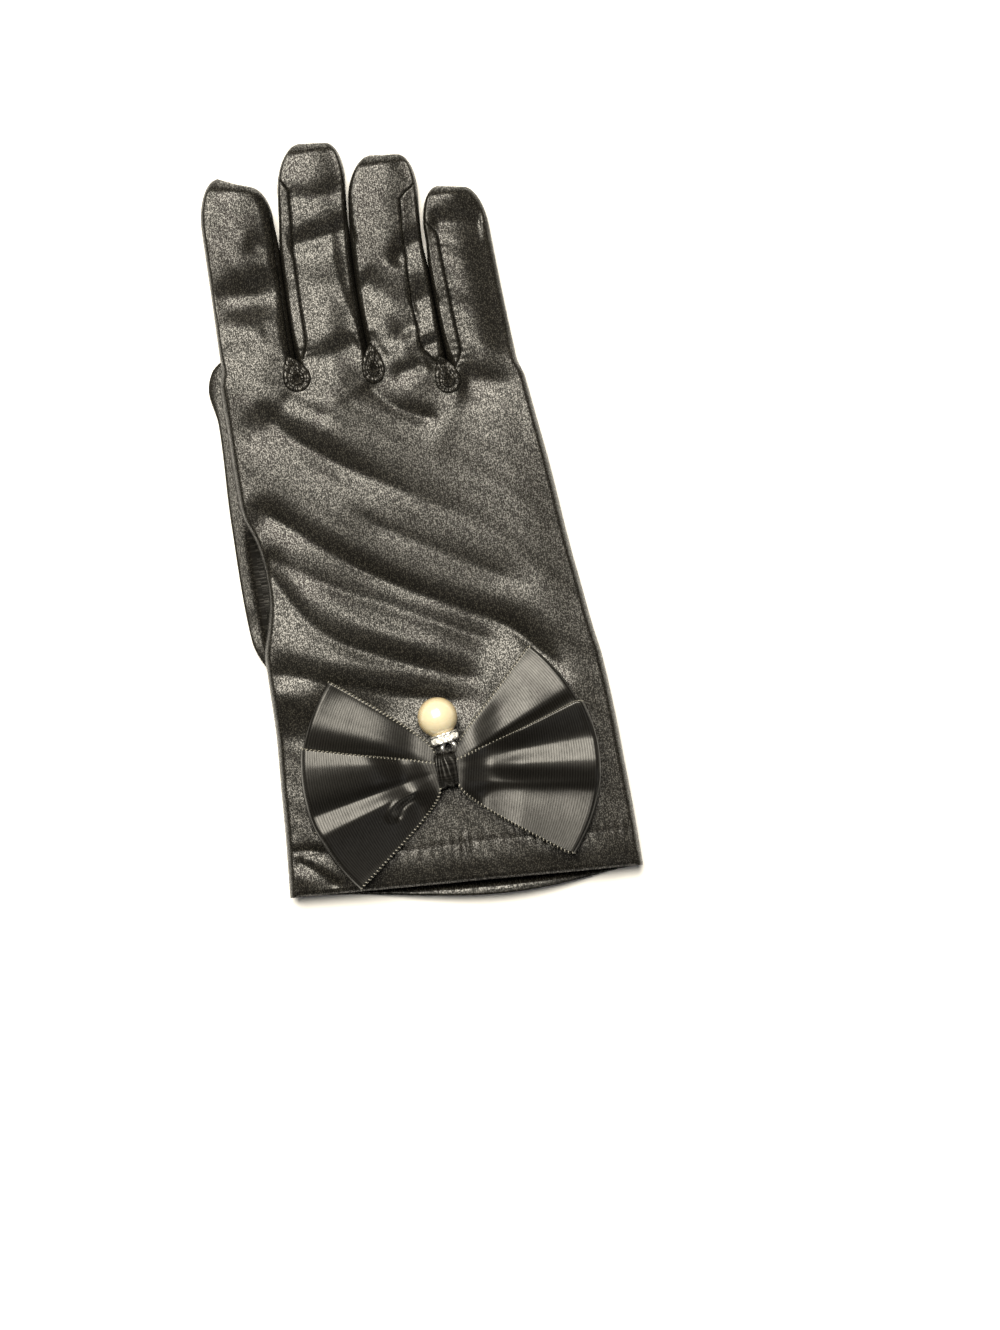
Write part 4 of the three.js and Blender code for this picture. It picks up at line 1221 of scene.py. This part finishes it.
# %% Pearl
def pearl_lacquer():
    """Cream lacquer with a painted sheen by the angle of view: pale where it faces the camera and deeper
    and warmer towards the rim, with a clear coat.
    """
    m = Maker("pearl lacquer")
    facing = m.node("ShaderNodeLayerWeight", {}, Blend=0.42, output="Facing")
    cloud = m.solid_noise(220.0, 3.0)
    # painted sheen and rim shade from the angle of view, with a little random cloud
    share = (facing.above(0.15, 0.95) * 0.9 + cloud * 0.12).clamp()
    return m.surface(
        Base_Color=m.colour(share, (0.56, 0.5, 0.35), (0.42, 0.31, 0.15)),
        Roughness=(cloud * 0.06 + 0.24).clamp(),
        Normal=m.bump(cloud, 0.05, 0.2),
        Coat_Weight=0.6,
        Coat_Roughness=0.08,
        Subsurface_Weight=0.15,
        Subsurface_Radius=(0.003, 0.002, 0.001),
        Specular_IOR_Level=0.7,
    )


def ball_grid(centre, radius):
    """A ball: each row a ring whose height and radius are the cosine and sine of its latitude."""
    latitude = np.linspace(0, np.pi, 48)[:, None]
    turn, ring_radius = turns(96)[None, :], np.sin(latitude)
    ring = closed(stacked(ring_radius * np.cos(turn), ring_radius * np.sin(turn), np.cos(latitude)))
    return centre + radius * ring, ring[..., :2] * radius, True, False


pearl_low, pearl_high = (np.array(c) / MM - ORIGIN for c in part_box("pearl"))
pearl_centre = (pearl_low + pearl_high) / 2
pearl_radius = (pearl_high - pearl_low)[2] / 2
pearl = from_grids("pearl_bead", [ball_grid(pearl_centre, pearl_radius)])
finish_piece(pearl, pearl_lacquer(), "pearl", "pearl")


# %% [markdown]
# The rondelle is a thin silver ring with square-cut stones set round it, and it sits against the
# pearl on the side of the knot. Two wire loops go from it into the knot.

# %% Silver and stones
def silver_metal():
    """Worn silver plate: a slow noise changes its tone and its polish a little."""
    m = Maker("silver plate")
    wear = m.solid_noise(900.0, 3.0)
    return m.surface(
        Base_Color=m.colour(wear, (0.8, 0.79, 0.76), (0.93, 0.92, 0.9)),
        Metallic=1.0,
        Roughness=(wear * 0.14 + 0.3).clamp(),
        Normal=m.bump(wear, 0.03, 0.3),
    )


def cut_stone():
    """A clear cut stone, foiled behind. White and grey patches of noise in its colour are painted glints
    of its facets.
    """
    m = Maker("cut stone")
    # painted glints: noise patches of white and grey stand in for the facets' reflections
    painted_glint = m.solid_noise(1500.0, 2.0)
    return m.surface(
        Base_Color=m.colour(painted_glint.above(0.35, 0.65), (0.6, 0.6, 0.58), (0.97, 0.97, 0.95)),
        Metallic=0.35,
        Roughness=0.06,
        Coat_Weight=1.0,
        Coat_Roughness=0.02,
    )


silver, stone = silver_metal(), cut_stone()
LEAN = np.radians(9.0)
TOWARDS_KNOT = np.array([np.sin(LEAN), -np.cos(LEAN), 0.0])
SIDEWAYS = np.array([np.cos(LEAN), np.sin(LEAN), 0.0])
UP = np.array([0, 0, 1.0])
STONES, STONE_SIZE, STONE_RING, STONE_ALONG = 12, 1.45, 3.15, 1.4
WIRE = 1.25


def in_setting(along, side, up):
    """A place in the setting: along its axis from the pearl's middle, sideways and up."""
    return pearl_centre + stacked(along, side, up) @ np.stack([TOWARDS_KNOT, SIDEWAYS, UP])


def turned_profile(along, radius):
    """A profile turned round the setting's axis. Its rim swells by a twentieth at each stone."""
    turn = turns(96)[None, :]
    r = radius[:, None] * (1 + 0.05 * (0.5 + 0.5 * np.cos(STONES * turn)))
    grid = closed(in_setting(along[:, None], r * np.cos(turn), r * np.sin(turn)))
    return grid, grid[..., :2], False, False


def stone_grids(along):
    """Square-cut stones round the rim: a table, four crown facets and a girdle each."""
    grids = []
    levels = [(-0.5, 0), (-0.5, 0.9), (0.0, 1.0), (0.12, 1.0), (0.45, 0.55), (0.45, 0)]
    ring = np.array([(-1, -1), (1, -1), (1, 1), (-1, 1), (-1, -1)], float) * STONE_SIZE / 2
    for n in range(STONES):
        turn = 2 * np.pi * (n + 0.5) / STONES
        out = np.cos(turn) * SIDEWAYS + np.sin(turn) * UP
        round_way = -np.sin(turn) * SIDEWAYS + np.cos(turn) * UP
        centre = pearl_centre + along * TOWARDS_KNOT + STONE_RING * out
        flat = ring[:, :1] * TOWARDS_KNOT + ring[:, 1:] * round_way
        grid = np.stack([centre + high * out + share * flat for high, share in levels])
        grids.append((grid, grid[..., :2], True, False))
    return grids


ball = pearl_radius + 0.12
cup = np.sqrt(ball**2 - 3.0**2)
profile_along = cup + np.array([ball - cup, 0, 0.25, 0.7, 0.9, 1.9, 2.1, 2.5, 2.6, 2.6])
profile_radius = np.array([0, 2.9, 3.5, 3.45, 2.9, 2.9, 3.5, 3.3, 0.6, 0])
collar = from_grids("pearl_rondelle_metal", [turned_profile(profile_along, profile_radius)])
finish_piece(collar, silver, "silver", "pearl_rondelle")

stones = from_grids("rondelle_stones", stone_grids(cup + STONE_ALONG))
stones.data.polygons.foreach_set("use_smooth", np.zeros(len(stones.data.polygons), bool))
finish_piece(stones, stone, "silver")


def wire_grid(path):
    """A round wire along a path of points."""
    ahead = unit(np.gradient(path, axis=0))
    aside = unit(np.cross(ahead, UP))
    above = np.cross(aside, ahead)
    turn = turns(16)[:, None]
    size = np.full((len(path), 1, 1), WIRE / 2)
    size[[0, -1]] = 0
    grid = closed(path[:, None] + (np.cos(turn) * aside[:, None] + np.sin(turn) * above[:, None]) * size)
    return grid, grid[..., :2], True, False


def prong(side):
    """A wire loop that leaves the rondelle, bends outwards and goes down into the knot."""
    t = np.linspace(0, 1, 40)
    along = cup + 2.4 + 2.6 * t
    out = side * (0.7 + 0.9 * np.sin(np.pi * t * 0.9)) + 0.2
    high = 1.2 * np.sin(np.pi * t) - 0.9 * t
    return in_setting(along, out, high)


wires = from_grids("setting_wire_loops", [wire_grid(prong(side)) for side in (-1, 1)])
finish_piece(wires, silver, "silver")


# %% [markdown]
# ## Table, light and camera
#
# The photograph looks straight down. The hand leans 10 degrees to the left in it, so the camera
# is turned by that angle. One millimetre of the glove is 4 pixels of the photograph.

# %% Floor
def pale_floor():
    """A matt, almost white table, with clouds that can hardly be seen."""
    m = Maker("pale table")
    cloud = m.solid_noise(60.0, 3.0)
    return m.surface(Base_Color=m.colour(cloud, (0.93, 0.93, 0.93), (0.95, 0.95, 0.95)), Roughness=0.9)


TABLE_HALF = 1500.0
corners = TABLE_HALF * np.array([(-1, -1, 0), (1, -1, 0), (1, 1, 0), (-1, 1, 0)]) - ORIGIN
floor = mesh_object("table", corners, [np.array([[0, 1, 2, 3]])])
floor.data.materials.append(pale_floor())

# %% Camera
PIXEL_MM = 0.25
PHOTO_LEAN = np.radians(10.0)
ANCHOR_PIXEL = np.array([463.0, 882.0])
PHOTO_SIZE = np.array([1000.0, 1330.0])
CAMERA_HEIGHT, SENSOR = 2500.0, 36.0
to_centre = (PHOTO_SIZE / 2 - ANCHOR_PIXEL) * PIXEL_MM * [1, -1]
cos_lean, sin_lean = np.cos(PHOTO_LEAN), np.sin(PHOTO_LEAN)
centre_x = to_centre[0] * cos_lean + to_centre[1] * sin_lean
centre_y = to_centre[1] * cos_lean - to_centre[0] * sin_lean
camera_data = bpy.data.cameras.new("camera")
camera_data.sensor_width = SENSOR
camera_data.lens = SENSOR * (CAMERA_HEIGHT - THICK) / (PHOTO_SIZE[1] * PIXEL_MM)
camera = bpy.data.objects.new("camera", camera_data)
camera.location = (np.array([centre_x, centre_y, CAMERA_HEIGHT]) + ORIGIN) * MM
camera.rotation_euler = (0.0, 0.0, -PHOTO_LEAN)
bpy.context.collection.objects.link(camera)
bpy.context.scene.camera = camera


# %% [markdown]
# Satin is dark except where it mirrors a light. A broad softbox hangs high beyond the fingertips, so
# the side of each fold that faces it glows and the other goes black. A weak one beyond the hem and
# a dim world keep the black from going blank.

# %% Lights
def softbox(name, place_mm, size_mm, watts, colour=(1.0, 1.0, 1.0)):
    """A square softbox at a place over the glove, facing its middle."""
    data = bpy.data.lights.new(name, "AREA")
    data.shape = "RECTANGLE"
    data.size, data.size_y = size_mm[0] * MM, size_mm[1] * MM
    data.energy = watts
    data.color = colour
    lamp = bpy.data.objects.new(name, data)
    at = np.array(place_mm, float)
    lamp.location = at * MM
    away = at / np.linalg.norm(at)
    lamp.rotation_euler = (np.arccos(away[2]), 0.0, np.arctan2(away[0], -away[1]))
    bpy.context.collection.objects.link(lamp)


softbox("key softbox", (-240, 1180, 2650), (2250, 2240), 262.0, (1.0, 0.93, 0.79))
softbox("fill softbox", (600, -900, 1100), (900, 900), 1.2)

world = bpy.data.worlds.new("studio")
world.use_nodes = True
background = world.node_tree.nodes["Background"].inputs
background["Color"].default_value = (1.0, 1.0, 1.0, 1.0)
background["Strength"].default_value = 0.05
bpy.context.scene.world = world
bpy.context.scene.view_settings.view_transform = "Standard"
